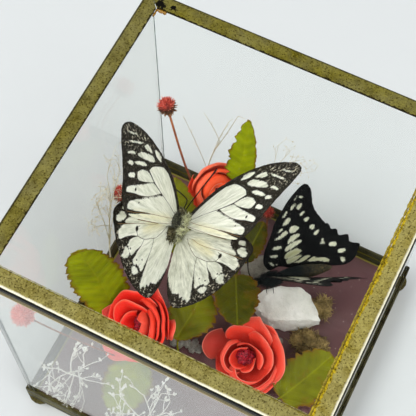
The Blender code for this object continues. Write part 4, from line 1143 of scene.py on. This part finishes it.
def rose(name, centre, axis, radius, hollow, petals):
    """An open rose: a crumpled heart and its listed petals."""
    bloom = bmesh.new()
    core = ball((0.24, 0.24, 0.16), 4)
    bmesh.ops.translate(core, vec=(0, 0, hollow), verts=core.verts[:])
    for vert in core.verts:
        vert.co += vert.normal * 0.10 * noise.noise(vert.co * 9.0)
    tag(core, rim=0.2, ring=0.0, heart=1.0, back=0.0)
    join(bloom, core)
    for place, shape in enumerate(petals):
        join(bloom, petal(1.7 * place, *shape))
    for vert in bloom.verts:
        vert.co += crumple_at(vert.co * CRUMPLE_SCALE + Vector(centre)) * CRUMPLE_DEPTH
    bmesh.ops.scale(bloom, vec=(radius,) * 3, verts=bloom.verts[:])
    bloom = shifted(bloom, facing(centre, axis))
    return finish(name + "_petals", bloom, ROSES[name], (name,), True, 70.0)


# Each row: turn, spread, belly, rim, high, skew, point, ring
FRONT_PETALS = (
    (205, 112, 0.26, 0.27, 0.34, 0.0, 0.0, 0.0),
    (330, 60, 0.28, 0.32, 0.30, 0.0, 0.0, 0.0),
    (73, 78, 0.44, 0.46, 0.42, -0.30, 0.0, 0.0),
    (205, 76, 0.56, 0.41, 0.40, 0.0, 0.0, 0.0),
    (322, 84, 0.66, 0.58, 0.38, 0.60, 0.0, 0.0),
    (52, 56, 0.58, 0.80, 0.34, 0.0, 0.0, 0.0),
    (33, 50, 0.80, 1.10, 0.20, 0.0, 0.0, 0.1),
    (94, 42, 0.72, 0.95, 0.28, 0.0, 0.22, 0.0),
    (122, 44, 0.66, 0.82, 0.24, 0.0, 0.0, 0.2),
    (335, 76, 0.90, 0.82, 0.14, 0.12, 0.0, 0.3),
    (318, 60, 1.00, 0.94, -0.02, 0.1, 0.0, 0.5),
    (238, 46, 0.72, 0.76, 0.10, 0.0, 0.0, 0.9),
    (191, 26, 0.72, 1.14, -0.02, 0.0, 0.0, 1.0),
    (75, 40, 0.86, 1.04, 0.12, 0.0, 0.05, 0.4),
)
LEFT_PETALS = (
    (205, 60, 0.20, 0.32, 0.30, 0.0, 0.0, 0.0),
    (158, 74, 0.42, 0.60, 0.42, 0.10, 0.0, 0.0),
    (56, 58, 0.46, 0.20, 0.46, 0.0, 0.16, -0.3),
    (330, 60, 0.42, 0.30, 0.38, 0.0, 0.0, -0.2),
    (20, 74, 0.68, 0.58, 0.40, -0.15, 0.0, 0.0),
    (62, 66, 0.76, 0.72, 0.36, -0.10, 0.0, 0.1),
    (45, 62, 0.88, 0.86, 0.26, 0.0, 0.0, 0.3),
    (70, 50, 0.92, 0.98, 0.16, 0.0, 0.0, 0.6),
    (150, 66, 0.62, 0.84, 0.30, 0.0, 0.0, 0.0),
    (205, 50, 0.66, 0.80, 0.24, 0.0, 0.0, 0.2),
    (104, 36, 0.78, 0.92, 0.12, 0.0, 0.28, 1.0),
    (212, 30, 0.72, 0.90, 0.10, 0.0, 0.20, 1.0),
    (38, 18, 0.84, 1.08, 0.02, 0.0, 0.0, -0.5),
    (320, 70, 0.85, 0.80, 0.20, 0.0, 0.0, 0.2),
    (268, 60, 0.80, 0.78, 0.20, 0.0, 0.0, 0.2),
    (255, 34, 0.90, 1.26, -0.06, 0.0, 0.0, -0.3),
)
BACK_PETALS = (
    (20, 130, 0.40, 0.16, 0.50, 0.0, 0.0, 0.0),
    (200, 130, 0.44, 0.20, 0.52, 0.0, 0.0, 0.0),
    (110, 100, 0.60, 0.34, 0.52, 0.3, 0.0, 0.0),
    (290, 110, 0.62, 0.42, 0.46, -0.3, 0.0, 0.0),
    (30, 84, 0.76, 0.58, 0.44, 0.3, 0.0, 0.0),
    (160, 90, 0.80, 0.62, 0.42, 0.0, 0.0, -0.3),
    (245, 80, 0.86, 0.74, 0.32, 0.2, 0.0, 0.0),
    (95, 70, 0.92, 0.88, 0.24, 0.0, 0.0, -0.5),
    (340, 80, 0.90, 0.92, 0.12, 0.0, 0.0, 0.0),
    (200, 70, 0.95, 1.00, 0.06, 0.0, 0.0, -0.2),
)
rose("rose_front", (16.0, -11.0, 24.0), (-0.05, -0.52, 0.85), 16.5, -0.12, FRONT_PETALS)
rose("rose_left", (-29.4, -23.0, 40.5), (-0.28, -0.56, 0.78), 16.2, -0.16, LEFT_PETALS)
rose("rose_back", (-26.2, 45.2, 52.8), (0.66, -0.50, 0.56), 12.6, 0.0, BACK_PETALS)

# %% [markdown]
# The leaves are broad, blunt and toothed, olive green with brown tips to their teeth.
# Side veins leave the midrib at a slant and end at the teeth, so one pattern in the
# leaf's own flat coordinates draws the veins, the relief and the paler tissue between.

# %% The leaf finish
def leaf_finish(name, low, high, browning):
    made, tree, shader = new_material(name)
    flat = add(tree, "SeparateXYZ", Vector=attribute(tree, "flat", "Vector"))
    along, across = flat.outputs["X"], maths(tree, "ABSOLUTE", flat.outputs["Y"], 0.0)
    slant = minus(tree, along, times(tree, across, 0.85))
    wave = maths(tree, "PINGPONG", slant, 2.6)
    side = ramp(tree, wave, 0.0, 0.35, 1.0, 0.0)
    rib = ramp(tree, across, 0.15, 0.6, 1.0, 0.0)
    veins = maths(tree, "MAXIMUM", times(tree, side, 0.45), rib)
    place = coordinates(tree)
    base = mix(tree, masked(tree, PATCHES, place, Scale=90.0), low, high)
    base = mix(tree, ramp(tree, wave, 0.6, 2.6, 0.0, 0.2), base, toned(high, 1.35))
    base = mix(tree, times(tree, veins, 0.24), base, rgb(160, 162, 24))
    brown = masked(tree, SPECKS, place, Scale=160.0, Amount=browning)
    base = mix(tree, times(tree, brown, 0.45), base, rgb(110, 84, 8))
    rim = plus(tree, attribute(tree, "edge"), times(tree, noise_of(tree, place, 500.0), 0.3))
    colour = mix(tree, ramp(tree, rim, 0.94, 1.14, 0.0, 0.9), base, rgb(112, 70, 8))
    colour = mix(tree, times(tree, masked(tree, DUST, place, Scale=700.0, Amount=0.1), 0.5),
                 colour, rgb(190, 184, 150))
    wire(tree, shader, colour, 0.5, minus(tree, wave, times(tree, veins, 2.0)),
         0.0002, 0.4)
    set_on(shader, Specular_IOR_Level=0.12)
    return made


FRESH_LEAF = leaf_finish("fresh_leaf", rgb(110, 122, 0), rgb(148, 158, 0), 0.2)
OLD_LEAF = leaf_finish("olive_leaf", rgb(78, 80, 0), rgb(110, 112, 2), 0.45)
# A darker copy for leaves lying in shade: painted shade, with more browning.
SHADED_LEAF = leaf_finish("shaded_leaf", rgb(50, 52, 0), rgb(82, 82, 2), 0.6)
UP = (0.19, -0.38, 0.90)
CALM_SIDE = -1
BLADE_THICK, STALK_RADIUS, ROSE_STEM_RADIUS = 0.22, 0.45, 1.2


# %% Leaves
def leaf(name, base, tip, width, blunt, skew, bow, fold, stalk, over, teeth, look, bite, calm=0.0):
    """A toothed blade from base to tip, with its midrib and its stalk."""
    base, tip = Vector(base), Vector(tip)
    along = (tip - base).normalized()
    across = Vector(over).cross(along).normalized()
    upper = along.cross(across)
    length = (tip - base).length
    bm = bmesh.new()
    bmesh.ops.create_grid(bm, x_segments=teeth * 8, y_segments=14, size=1.0)
    flat = bm.verts.layers.float_vector.new("flat")
    edge = bm.verts.layers.float.new("edge")
    made = bmesh.ops.extrude_face_region(bm, geom=bm.faces[:], use_keep_orig=True)
    raised = {item for item in made["geom"] if isinstance(item, bmesh.types.BMVert)}
    phase = sum(map(ord, name)) % 7
    for vert in bm.verts:
        t, u = (vert.co.x + 1) / 2, vert.co.y
        shape = width * math.sin(math.pi * min(max(t, 0.02), 0.985) ** skew) ** blunt
        scallop = abs(math.sin(math.pi * (t * teeth + 0.3 * math.sin(7 * t + phase))))
        scallop = 0.6 * scallop + 0.4 * ((t * teeth * 2 + 0.5) % 1.0)
        tooth = 1 + bite * (scallop - 0.7) * abs(u) ** 5 * (1 - calm * (u * CALM_SIDE > 0))
        half = max(shape * tooth, 0.25)
        lift = bow * math.sin(math.pi * t) + fold * abs(u) * half / width
        lift += 0.35 * math.sin(t * teeth * 3.1 + phase) * u * u + 0.5 * math.sin(5 * t + phase) * u
        lift -= 0.25 * math.exp(-(u * half / 0.7) ** 2)
        vert[flat] = (t * length, u * half, 0.0)
        vert[edge] = abs(u) if 0.04 < t < 0.96 else max(abs(u), 0.9)
        vert.co = (t * length, u * half, lift + (BLADE_THICK if vert in raised else 0.0))
    shifted(bm, frame_at(base, along, across, upper))
    bmesh.ops.recalc_face_normals(bm, faces=bm.faces[:])
    path = smooth_path([base + along * 2.0 + upper * 0.2] + [Vector(point) for point in stalk], 5)
    rib = tubes(((path, [STALK_RADIUS] * len(path)),), 1)
    join(bm, rib)
    return finish(name + "_blade", bm, look, (name,), True, 60.0)


FOOT_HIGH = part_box("base_board")[1].z / MM + 0.3
leaf("leaf_left", (-41.0, -20.0, 27.5), (-57.5, -17.6, 80.0), 11.4, 0.36, 1.02, -2.5, 0.6,
     ((-41.0, -18.0, 22.0), (-42.0, -14.0, FOOT_HIGH)), UP, 11, FRESH_LEAF, 0.22)
leaf("leaf_back_tall", (-16.6, 47.8, 64.0), (-17.8, 59.0, 97.5), 6.4, 0.5, 0.58, 1.0, 0.8,
     ((-15.0, 49.5, 60.0), (-9.0, 53.5, 50.0), (-8.0, 54.0, 34.0), (-9.0, 56.0, FOOT_HIGH)),
     (0.2, -0.8, 0.5), 5, FRESH_LEAF, 0.55, 0.7)
leaf("leaf_under_white", (-24.0, 6.0, 60.0), (-44.0, 40.0, 56.0), 9.0, 0.6, 0.9, 1.5, 0.6,
     ((-22.0, 3.0, 52.0), (-21.0, 2.0, 30.0), (-20.5, 2.0, FOOT_HIGH)), UP, 8, OLD_LEAF, 0.22)
leaf("leaf_under_dark", (-2.0, 24.0, 38.0), (-1.0, 43.0, 45.0), 5.4, 0.5, 0.9, 1.0, 0.6,
     ((-3.5, 20.5, 30.0), (-5.0, 19.0, FOOT_HIGH)), UP, 7, SHADED_LEAF, 0.25)
leaf("leaf_middle_left", (-13.2, -19.6, 31.5), (-11.0, 5.6, 37.0), 11.0, 0.6, 1.15, 1.5, 0.9,
     ((-12.0, -20.5, 24.0), (-9.0, -22.0, FOOT_HIGH)), UP, 7, OLD_LEAF, 0.25)
leaf("leaf_middle_right", (-2.5, 17.6, 37.0), (9.2, -4.6, 41.0), 10.6, 0.45, 0.8, 1.5, 0.6,
     ((-4.0, 13.0, 30.0), (-5.0, 11.0, FOOT_HIGH)), UP, 6, SHADED_LEAF, 0.26)
leaf("leaf_right", (37.5, -18.6, 17.0), (50.5, 7.6, 23.0), 11.4, 0.42, 0.8, 1.5, 0.6,
     ((34.5, -23.0, 14.5), (34.0, -25.0, FOOT_HIGH)), UP, 6, OLD_LEAF, 0.3)
leaf("leaf_front", (-26.0, -29.5, 18.6), (-24.0, -57.5, 23.4), 11.0, 0.45, 0.9, 1.5, 0.6,
     ((-21.5, -28.0, 15.0), (-21.0, -27.0, FOOT_HIGH)), UP, 9, FRESH_LEAF, 0.2)

# %% [markdown]
# The round heads are dried clover-like flowers: 170 pointed bracts packed on a ball.
# Cones set on a spiral of even spacing give that packing, and a thin wiry stem
# carries each head.

# %% Flower heads and stems
def plain_finish(name, low, high, scale, roughness, relief=0.0002):
    """A matt plant finish between two colours, with a fine grain."""
    made, tree, shader = new_material(name)
    place = coordinates(tree)
    tone = noise_of(tree, place, scale, 4.0, 0.6)
    fine = noise_of(tree, place, scale * 6, 3.0)
    colour = mix(tree, ramp(tree, tone, 0.36, 0.64), low, high)
    colour = mix(tree, ramp(tree, fine, 0.3, 0.5, 0.35, 0.0), colour, toned(low, 0.5))
    wire(tree, shader, colour, roughness, fine, relief, 0.5)
    return made


def head_finish(name, gap, red, tips, cup_low, cup_high):
    """Bracts of a dried head: painted shade in the gaps, red sides, paler tips and a browner cup."""
    made, tree, shader = new_material(name)
    tip = plus(tree, attribute(tree, "tip"),
               ramp(tree, noise_of(tree, coordinates(tree), 420.0), 0.3, 0.7, -0.15, 0.15))
    crown = mix(tree, ramp(tree, tip, 0.95, 1.15), red, tips)
    cup = mix(tree, ramp(tree, tip, 0.85, 1.10), cup_low, cup_high)
    outer = mix(tree, attribute(tree, "cup"), crown, cup)
    # The gap colour between the bracts is painted shade.
    wire(tree, shader, mix(tree, ramp(tree, tip, 0.64, 0.86), gap, outer), 0.8)
    return made


HEAD_LOOK = head_finish("dry_bracts", rgb(84, 22, 14), rgb(190, 66, 50), rgb(236, 132, 110),
                        rgb(64, 36, 18), rgb(134, 92, 52))
FADED_HEAD = head_finish("faded_bracts", rgb(206, 90, 76), rgb(232, 124, 108), rgb(246, 168, 154),
                         rgb(206, 96, 80), rgb(232, 134, 116))
STEM_LOOK = plain_finish("dry_stem", rgb(116, 54, 22), rgb(168, 94, 46), 200.0, 0.7)
GOLDEN_ANGLE = math.pi * (3 - math.sqrt(5))
BRACTS = 170


def seed_head(name, radius, points, seed, look=HEAD_LOOK, stem_radius=0.5):
    rng = random.Random(seed)
    centre = Vector(points[0])
    axis = (centre - Vector(points[1])).normalized()
    bm = shifted(ball((radius * 0.78,) * 3, 3), Matrix.Translation(centre))
    places = []
    for bract in range(BRACTS):
        height = 1 - 2 * (bract + 0.5) / BRACTS
        turn = bract * GOLDEN_ANGLE
        flat = math.sqrt(1 - height * height)
        unit = Vector((flat * math.cos(turn), flat * math.sin(turn), height))
        lean = (unit + axis * 0.35 + strayed(rng, 0.25)).normalized()
        size = radius * rng.uniform(0.36, 0.56)
        places.append(facing(centre + unit * radius * 0.66, lean) @ Matrix.Diagonal((size, size, size, 1)))
    join(bm, repeated(spike(0.27, 1.0, 4), places))
    tag(bm, tip=0.0, cup=0.0)
    for vert in bm.verts:
        away = (vert.co - centre) / radius
        vert[bm.verts.layers.float["tip"]] = away.length
        vert[bm.verts.layers.float["cup"]] = min(max(1.1 - 3.0 * away.dot(axis), 0.0), 1.0)
    finish(name + "_bracts", bm, look, (name,), False)
    path = smooth_path(points, 8)
    finish(name + "_stem", tubes(((path, [stem_radius] * len(path)),), 1), STEM_LOOK)


seed_head("seed_head_back", 3.9, ((-52.0, 51.0, 95.0), (-44.6, 46.0, 76.0), (-41.0, 44.8, 62.0),
                                  (-40.0, 47.0, 45.0), (-39.5, 48.0, FOOT_HIGH)), 1)
seed_head("seed_head_front", 4.4, ((-55.9, -56.0, 104.0), (-48.8, -50.0, 80.0), (-38.5, -39.5, 42.0),
                                   (-31.5, -30.5, FOOT_HIGH)), 2, FADED_HEAD, 0.36)
seed_head("seed_head_left", 3.9, ((-56.5, 17.0, 70.0), (-57.0, 18.0, 45.0), (-56.0, 20.0, FOOT_HIGH)), 3)
seed_head("seed_head_middle", 2.9, ((-1.5, 48.4, 44.0), (-1.5, 48.6, 28.0), (-1.0, 49.0, FOOT_HIGH)), 4)
ROSE_STEMS = {
    "rose_stem_left": ((-29.0, -14.5, 30.0), (-28.0, -13.0, 21.0), (-28.0, -12.5, FOOT_HIGH)),
    "rose_stem_back": ((-27.0, 48.0, 42.0), (-27.5, 48.5, 28.0), (-27.0, 48.0, FOOT_HIGH)),
}
for name, points in ROSE_STEMS.items():
    path = smooth_path(points, 6)
    finish(name + "_bark", tubes(((path, [ROSE_STEM_RADIUS] * len(path)),), 2), STEM_LOOK, (name,))

# %% [markdown]
# The sprigs are a bleached filler flower: hair-thin twigs that fork again and again and
# end in tiny buds. A short recursive rule grows them, and it keeps inside the glass.

# %% Sprigs
TWIG_LOOK = plain_finish("bleached_twig", rgb(224, 220, 206), rgb(250, 249, 244), 300.0, 0.8)
BEIGE_LOOK = plain_finish("beige_twig", rgb(188, 176, 140), rgb(226, 218, 192), 300.0, 0.8)
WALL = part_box("glass_front")[0].x / MM * -1 - 2.0
ROOM = WALL - 0.8
TWIG_STEPS = 3


def kept_inside(point):
    """The same point, moved off the glass and the board if it would touch them."""
    return Vector((max(-ROOM, min(ROOM, point.x)), max(-ROOM, min(ROOM, point.y)),
                   max(FOOT_HIGH + 0.3, point.z)))


def grow(paths, buds, start, direction, length, radius, depth, rng):
    """Grow one twig and its forks, and note where its buds sit."""
    points = [start]
    heading = direction.normalized()
    for _ in range(TWIG_STEPS):
        heading = (heading + strayed(rng, 0.28)).normalized()
        points.append(kept_inside(points[-1] + heading * length / TWIG_STEPS))
    paths.append((points, [radius * (1 - 0.3 * step / TWIG_STEPS) for step in range(TWIG_STEPS + 1)]))
    if depth == 0:
        buds.append((points[-1], heading))
        return
    for fork in range(rng.choice((2, 2, 3))):
        at = points[-1] if fork == 0 else points[rng.choice((1, 2))]
        away = scattered(rng).normalized()
        grow(paths, buds, at, heading + away * 0.85, length * rng.uniform(0.6, 0.85), radius * 0.75,
             depth - 1, rng)


def sprig(name, trunk, tips, seed, look, depth, thick, bud, tip_length=9.0):
    """A sprig: its trunk, a twig to each tip and the fine forks that end in buds."""
    rng = random.Random(seed)
    path = smooth_path(trunk, 5)
    paths = [(path, [thick * (1.5 - 0.7 * step / len(path)) for step in range(len(path))])]
    buds = []
    for place, tip in enumerate(tips):
        fork = path[-1 - (place % 4) * 2]
        tip = Vector(tip)
        middle = fork.lerp(tip, 0.5) + strayed(rng, 1.0)
        twig = smooth_path((fork, kept_inside(middle), kept_inside(tip)), 4)
        paths.append((twig, [thick * (0.8 - 0.35 * step / len(twig)) for step in range(len(twig))]))
        heading = (twig[-1] - twig[-3]).normalized()
        for start in (twig[-1], twig[-3], twig[-5]):
            away = scattered(rng).normalized()
            grow(paths, buds, start, heading + away * 0.7, tip_length * rng.uniform(0.35, 0.8),
                 thick * 0.5, depth, rng)
    bm = tubes(paths, 0)
    places = []
    for point, heading in buds:
        for _ in range(rng.choice((1, 2, 2))):
            away = (heading + scattered(rng, 0.7)).normalized()
            size = bud * rng.uniform(0.7, 1.3)
            places.append(facing(point, away) @ Matrix.Diagonal((size, size, size, 1)))
    grain = ball((0.34, 0.34, 0.72), 1)
    bmesh.ops.translate(grain, vec=(0, 0, 0.5), verts=grain.verts[:])
    join(bm, repeated(grain, places))
    return finish(name + "_twigs", bm, look, (name,), True, 60.0)


sprig("sprig_left", ((-59.0, 3.0, FOOT_HIGH), (-58.5, 4.0, 40.0), (-57.5, 7.0, 70.0)),
      ((-54.0, 14.0, 99.0), (-58.5, 11.0, 96.0), (-59.5, 2.0, 88.0), (-55.0, 3.0, 86.0),
       (-60.0, 12.0, 78.0), (-59.0, -3.0, 72.0), (-53.5, 9.0, 84.0)), 11, BEIGE_LOOK, 2, 0.26, 0.55)
sprig("sprig_back", ((-38.0, 57.5, FOOT_HIGH), (-36.0, 58.0, 45.0), (-31.0, 58.5, 70.0)),
      ((-36.4, 58.5, 84.0), (-23.0, 59.0, 97.0), (-26.4, 57.5, 92.0), (-48.0, 58.5, 76.0)),
      12, BEIGE_LOOK, 0, 0.22, 0.3, 5.0)
sprig("sprig_back_right", ((-10.0, 58.5, FOOT_HIGH), (-8.5, 58.5, 45.0), (-4.0, 58.0, 68.0)),
      ((8.0, 58.5, 86.0), (2.0, 57.0, 90.0), (13.0, 59.5, 78.0), (-4.0, 59.0, 88.0),
       (5.0, 59.8, 78.0)), 13, BEIGE_LOOK, 1, 0.15, 0.5)
sprig("sprig_front_left", ((-47.5, -43.5, FOOT_HIGH), (-49.0, -46.0, 15.0), (-51.0, -50.0, 21.0)),
      ((-56.0, -52.0, 26.0), (-54.0, -58.0, 24.0), (-49.0, -59.0, 27.0), (-41.0, -57.0, 20.0),
       (-40.0, -50.0, 26.0), (-52.0, -42.0, 25.0), (-46.0, -60.0, 17.0), (-44.0, -46.0, 28.0)),
      14, TWIG_LOOK, 1, 0.46, 1.5, 11.0)
sprig("sprig_front_right", ((-6.5, -50.5, FOOT_HIGH), (-7.5, -53.0, 15.5), (-12.0, -57.0, 26.0)),
      ((-18.0, -60.0, 33.0), (-13.0, -60.0, 36.0), (-6.0, -59.5, 31.0), (-4.0, -56.0, 25.0),
       (-18.0, -59.0, 26.5), (0.0, -58.0, 21.0), (-23.0, -51.0, 31.0), (-14.0, -46.0, 31.0),
       (-2.0, -48.5, 31.0), (-8.0, -42.0, 30.0)), 15, TWIG_LOOK, 1, 0.46, 1.5, 11.0)

# %% [markdown]
# The white stone is a broken lump of quartz: flat faces with rough, chipped edges. Its
# hull comes from the imported solid; beveling eases the edges, and displacing a fine mesh
# by noise gives the grain. The grey stone is made the same way, and the gravel heaps too,
# without the beveling.

# %% Stones
def stone_finish(name, low, high, stain):
    made, tree, shader = new_material(name)
    place = coordinates(tree)
    tone = noise_of(tree, place, 130.0, 6.0, 0.65)
    fine = noise_of(tree, place, 1400.0, 4.0, 0.6)
    colour = mix(tree, ramp(tree, tone, 0.35, 0.65), low, high)
    colour = mix(tree, ramp(tree, noise_of(tree, place, 260.0, 5.0, 0.7), 0.55, 0.75, 0.0, 0.45),
                 colour, stain)
    grain = plus(tree, fine, times(tree, noise_of(tree, place, 420.0, 5.0, 0.7), 2.0))
    wire(tree, shader, colour, ramp(tree, fine, 0.3, 0.7, 0.45, 0.8), grain, 0.0006, 0.8)
    return made


WHITE_STONE = stone_finish("white_quartz", rgb(222, 220, 208), rgb(248, 246, 238), rgb(200, 190, 166))
GREY_STONE = stone_finish("grey_pebble", rgb(98, 94, 86), rgb(150, 146, 134), rgb(62, 58, 50))
QUARRY_STONE = stone_finish("pale_rock", rgb(92, 88, 76), rgb(158, 154, 140), rgb(52, 50, 44))


SHARP_TURN = 0.35  # radians
LONGEST_EDGE = 1.1


def roughened(node, look, amount, cuts=3, bevel=0.7):
    """A finer, chipped copy of a packed stone."""
    bm = bmesh.new()
    bm.from_mesh(nodes[node].data)
    bmesh.ops.scale(bm, vec=(1 / MM,) * 3, verts=bm.verts[:])
    bmesh.ops.remove_doubles(bm, verts=bm.verts[:], dist=0.01)
    low = min(vert.co.z for vert in bm.verts)
    if bevel:
        sharp = [edge for edge in bm.edges if edge.is_manifold and edge.calc_face_angle(0.0) > SHARP_TURN]
        bmesh.ops.bevel(bm, geom=sharp, offset=bevel, offset_type="OFFSET", segments=2, profile=0.5,
                        affect="EDGES", clamp_overlap=True, material=-1)
    bmesh.ops.triangulate(bm, faces=bm.faces[:])
    for _ in range(cuts):
        long_edges = [edge for edge in bm.edges if edge.calc_length() > LONGEST_EDGE]
        bmesh.ops.subdivide_edges(bm, edges=long_edges, cuts=1, use_grid_fill=True)
        bmesh.ops.triangulate(bm, faces=bm.faces[:])
    bm.normal_update()
    for vert in bm.verts:
        if vert.co.z > low + 0.05:
            chip = noise.noise(vert.co * 0.35) + 0.5 * noise.noise(vert.co * 0.9)
            vert.co += vert.normal * (amount * chip - amount * 0.4)
    return finish(node + "_rough", bm, look, (node,), True, 28.0)


roughened("stone_white", WHITE_STONE, 0.8)
roughened("stone_grey", QUARRY_STONE, 0.7)
for heap in ("gravel_middle", "gravel_right"):
    roughened(heap, GREY_STONE, 0.45, 2, 0.0)

# %% [markdown]
# Dry moss is a tangle of fine stems. A low core fills the tuft, and several hundred short
# curved fibres stand out of it in all directions.

# %% Moss
MOSS_LOOK = plain_finish("dry_moss", rgb(74, 58, 26), rgb(196, 168, 104), 260.0, 0.9, 0.0004)


FIBRE_RADII = (0.14, 0.22, 0.22, 0.20, 0.16, 0.06)


def moss(name, centre, radii, seed, count):
    rng = random.Random(seed)
    core = ball([radius * 0.8 for radius in radii], 3)
    bmesh.ops.bisect_plane(core, geom=core.verts[:] + core.edges[:] + core.faces[:],
                           plane_co=(0, 0, 0.001), plane_no=(0, 0, -1), clear_outer=True)
    for vert in core.verts:
        vert.co += Vector((vert.co.x, vert.co.y, 0 if vert.co.z < 0.1 else vert.co.z)) * 0.25 \
            * noise.noise(vert.co * 0.5)
    rim = [edge for edge in core.edges if edge.is_boundary]
    bmesh.ops.holes_fill(core, edges=rim, sides=0)
    bm = shifted(core, Matrix.Translation((*centre, FOOT_HIGH)))
    bmesh.ops.recalc_face_normals(bm, faces=bm.faces[:])
    fibres = []
    for _ in range(count):
        turn, lift = rng.uniform(0, math.tau), rng.uniform(0.02, 1.0)
        flat = math.sqrt(1 - lift * lift)
        unit = Vector((flat * math.cos(turn), flat * math.sin(turn), lift))
        start = Vector(a * b * 0.75 for a, b in zip(unit, radii)) + Vector((*centre, FOOT_HIGH))
        heading = (unit.cross(scattered(rng)) + unit * 0.25).normalized()
        reach = rng.uniform(2.5, 6.0)
        curl = scattered(rng).normalized() * reach * 0.45
        points = [kept_inside(start + heading * reach * share + curl * math.sin(math.pi * share * 1.2))
                  for share in (0.0, 0.2, 0.4, 0.6, 0.8, 1.0)]
        fibres.append((points, FIBRE_RADII))
    join(bm, tubes(fibres, 0))
    return finish(name + "_fibres", bm, MOSS_LOOK, (name,), True, 60.0)


moss("moss_right", (38.5, 11.5), (9.0, 4.4, 3.6), 31, 620)
moss("moss_behind", (36.0, 29.4), (2.4, 3.8, 6.8), 32, 360)

# %% [markdown]
# Solder ran along the inner edges of the lid, most of all on the right, where it dried as a
# ragged gold bead. A drop of amber glue sits in the far corner, and a thin clear seam
# runs down each corner where two panes meet.

# %% Solder and glue
def bead(points, radius, seed):
    """A ragged bead along a line: a tube whose radius is never twice the same."""
    path, radii = [], []
    points = [Vector(point) for point in points]
    for start, end in zip(points, points[1:]):
        steps = int((end - start).length / 0.6)
        for step in range(steps):
            path.append(start.lerp(end, step / steps))
            lump = noise.noise(Vector((len(path) * 0.4, seed, 0.0)))
            lump += noise.noise(Vector((len(path) * 1.7, seed, 5.0)))
            radii.append(radius * (1 + 0.7 * lump))
    return tubes(((path, radii),), 2)


SOLDER = brass_finish("gold_solder", rgb(190, 166, 36), rgb(122, 102, 12))
DULL_SOLDER = brass_finish("dull_solder", rgb(196, 190, 130), rgb(110, 100, 40))
SEAM_LOOK = plain_finish("clear_seam", rgb(104, 118, 116), rgb(140, 154, 154), 200.0, 0.4)
GLUE, glue_tree, glue_shader = new_material("amber_glue")
wire(glue_tree, glue_shader, mix(glue_tree, masked(glue_tree, PATCHES, coordinates(glue_tree), Scale=400.0),
                                 rgb(112, 72, 4), rgb(168, 124, 20)), 0.25)
EDGE = INNER_EDGE - 0.5
BEAD_HIGH = LID_HIGH + 0.3
finish("solder_right", bead(((EDGE, -58.0, BEAD_HIGH), (EDGE, 58.0, BEAD_HIGH)), 0.42, 1.0), SOLDER)
finish("solder_front", bead(((-58.0, -EDGE, BEAD_HIGH), (58.0, -EDGE, BEAD_HIGH)), 0.16, 2.0),
       DULL_SOLDER)
finish("corner_glue", bead(((-EDGE, 54.6, BEAD_HIGH), (-EDGE, EDGE, BEAD_HIGH), (-53.2, EDGE, BEAD_HIGH)),
                           0.5, 3.0), GLUE)
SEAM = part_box("glass_right")[0].x / MM
for place, (side, depth) in enumerate(((-1, -1), (-1, 1), (1, 1), (1, -1))):
    seam = bead(((side * SEAM, depth * SEAM, FOOT_HIGH), (side * SEAM, depth * SEAM, LID_HIGH - 2.5)),
                0.22, 4.0 + place)
    finish(f"seam_{place}", seam, SEAM_LOOK)

# %% [markdown]
# The box stands on a plain pale floor in soft light from all round. Two broad lamps, the
# stronger above and to the left, give gentle shading. The camera looks down steeply from the front
# right corner, as the photograph does.

# %% Floor, light and camera
FLOOR_HALF = 3.0
SKY_COLOUR = (0.98, 0.985, 1.0, 1.0)
LEVEL_STRENGTH, ZENITH_STRENGTH = 0.95, 0.48
LAMPS = (((-1.0, -0.8, 1.9), 1.5, 22.0), ((1.3, -0.6, 1.6), 1.4, 11.5))
LOOKED_AT = Vector((0, 0, 0.05))
scene = bpy.context.scene
scene.view_settings.view_transform = "Standard"
ground = bmesh.new()
bmesh.ops.create_grid(ground, x_segments=1, y_segments=1, size=FLOOR_HALF)
ground_mesh = bpy.data.meshes.new("floor")
ground.to_mesh(ground_mesh)
ground.free()
floor = bpy.data.objects.new("floor", ground_mesh)
scene.collection.objects.link(floor)
floor_look, _, floor_shader = new_material("pale_floor")
set_on(floor_shader, Base_Color=rgb(222, 226, 226), Roughness=0.9)
ground_mesh.materials.append(floor_look)

world = bpy.data.worlds.new("soft_room")
world.use_nodes = True
sky = world.node_tree.nodes["Background"]
sky.inputs["Color"].default_value = SKY_COLOUR
above = add(world.node_tree, "SeparateXYZ", Vector=add(world.node_tree, "TexCoord").outputs["Generated"])
dimming = ramp(world.node_tree, above.outputs["Z"], 0.3, 0.85, LEVEL_STRENGTH, ZENITH_STRENGTH)
world.node_tree.links.new(dimming, sky.inputs["Strength"])
scene.world = world
for place, size, energy in LAMPS:
    lamp_data = bpy.data.lights.new("soft_lamp", "AREA")
    lamp_data.shape = "DISK"
    lamp_data.size = size
    lamp_data.energy = energy
    lamp = bpy.data.objects.new("soft_lamp", lamp_data)
    lamp.location = place
    lamp.rotation_euler = (LOOKED_AT - lamp.location).to_track_quat("-Z", "Y").to_euler()
    scene.collection.objects.link(lamp)

CAMERA_PLACE = Vector((72.2, -158.2, 506.7))
CAMERA_TILT = 25.443
CAMERA_TURN = 26.678
CAMERA_LENS = 98.8
camera_data = bpy.data.cameras.new("camera")
camera_data.lens = CAMERA_LENS
camera_data.clip_start = 0.01
camera = bpy.data.objects.new("camera", camera_data)
camera.location = CAMERA_PLACE * MM
camera.rotation_euler = (math.radians(CAMERA_TILT), 0.0, math.radians(CAMERA_TURN))
scene.collection.objects.link(camera)
scene.camera = camera
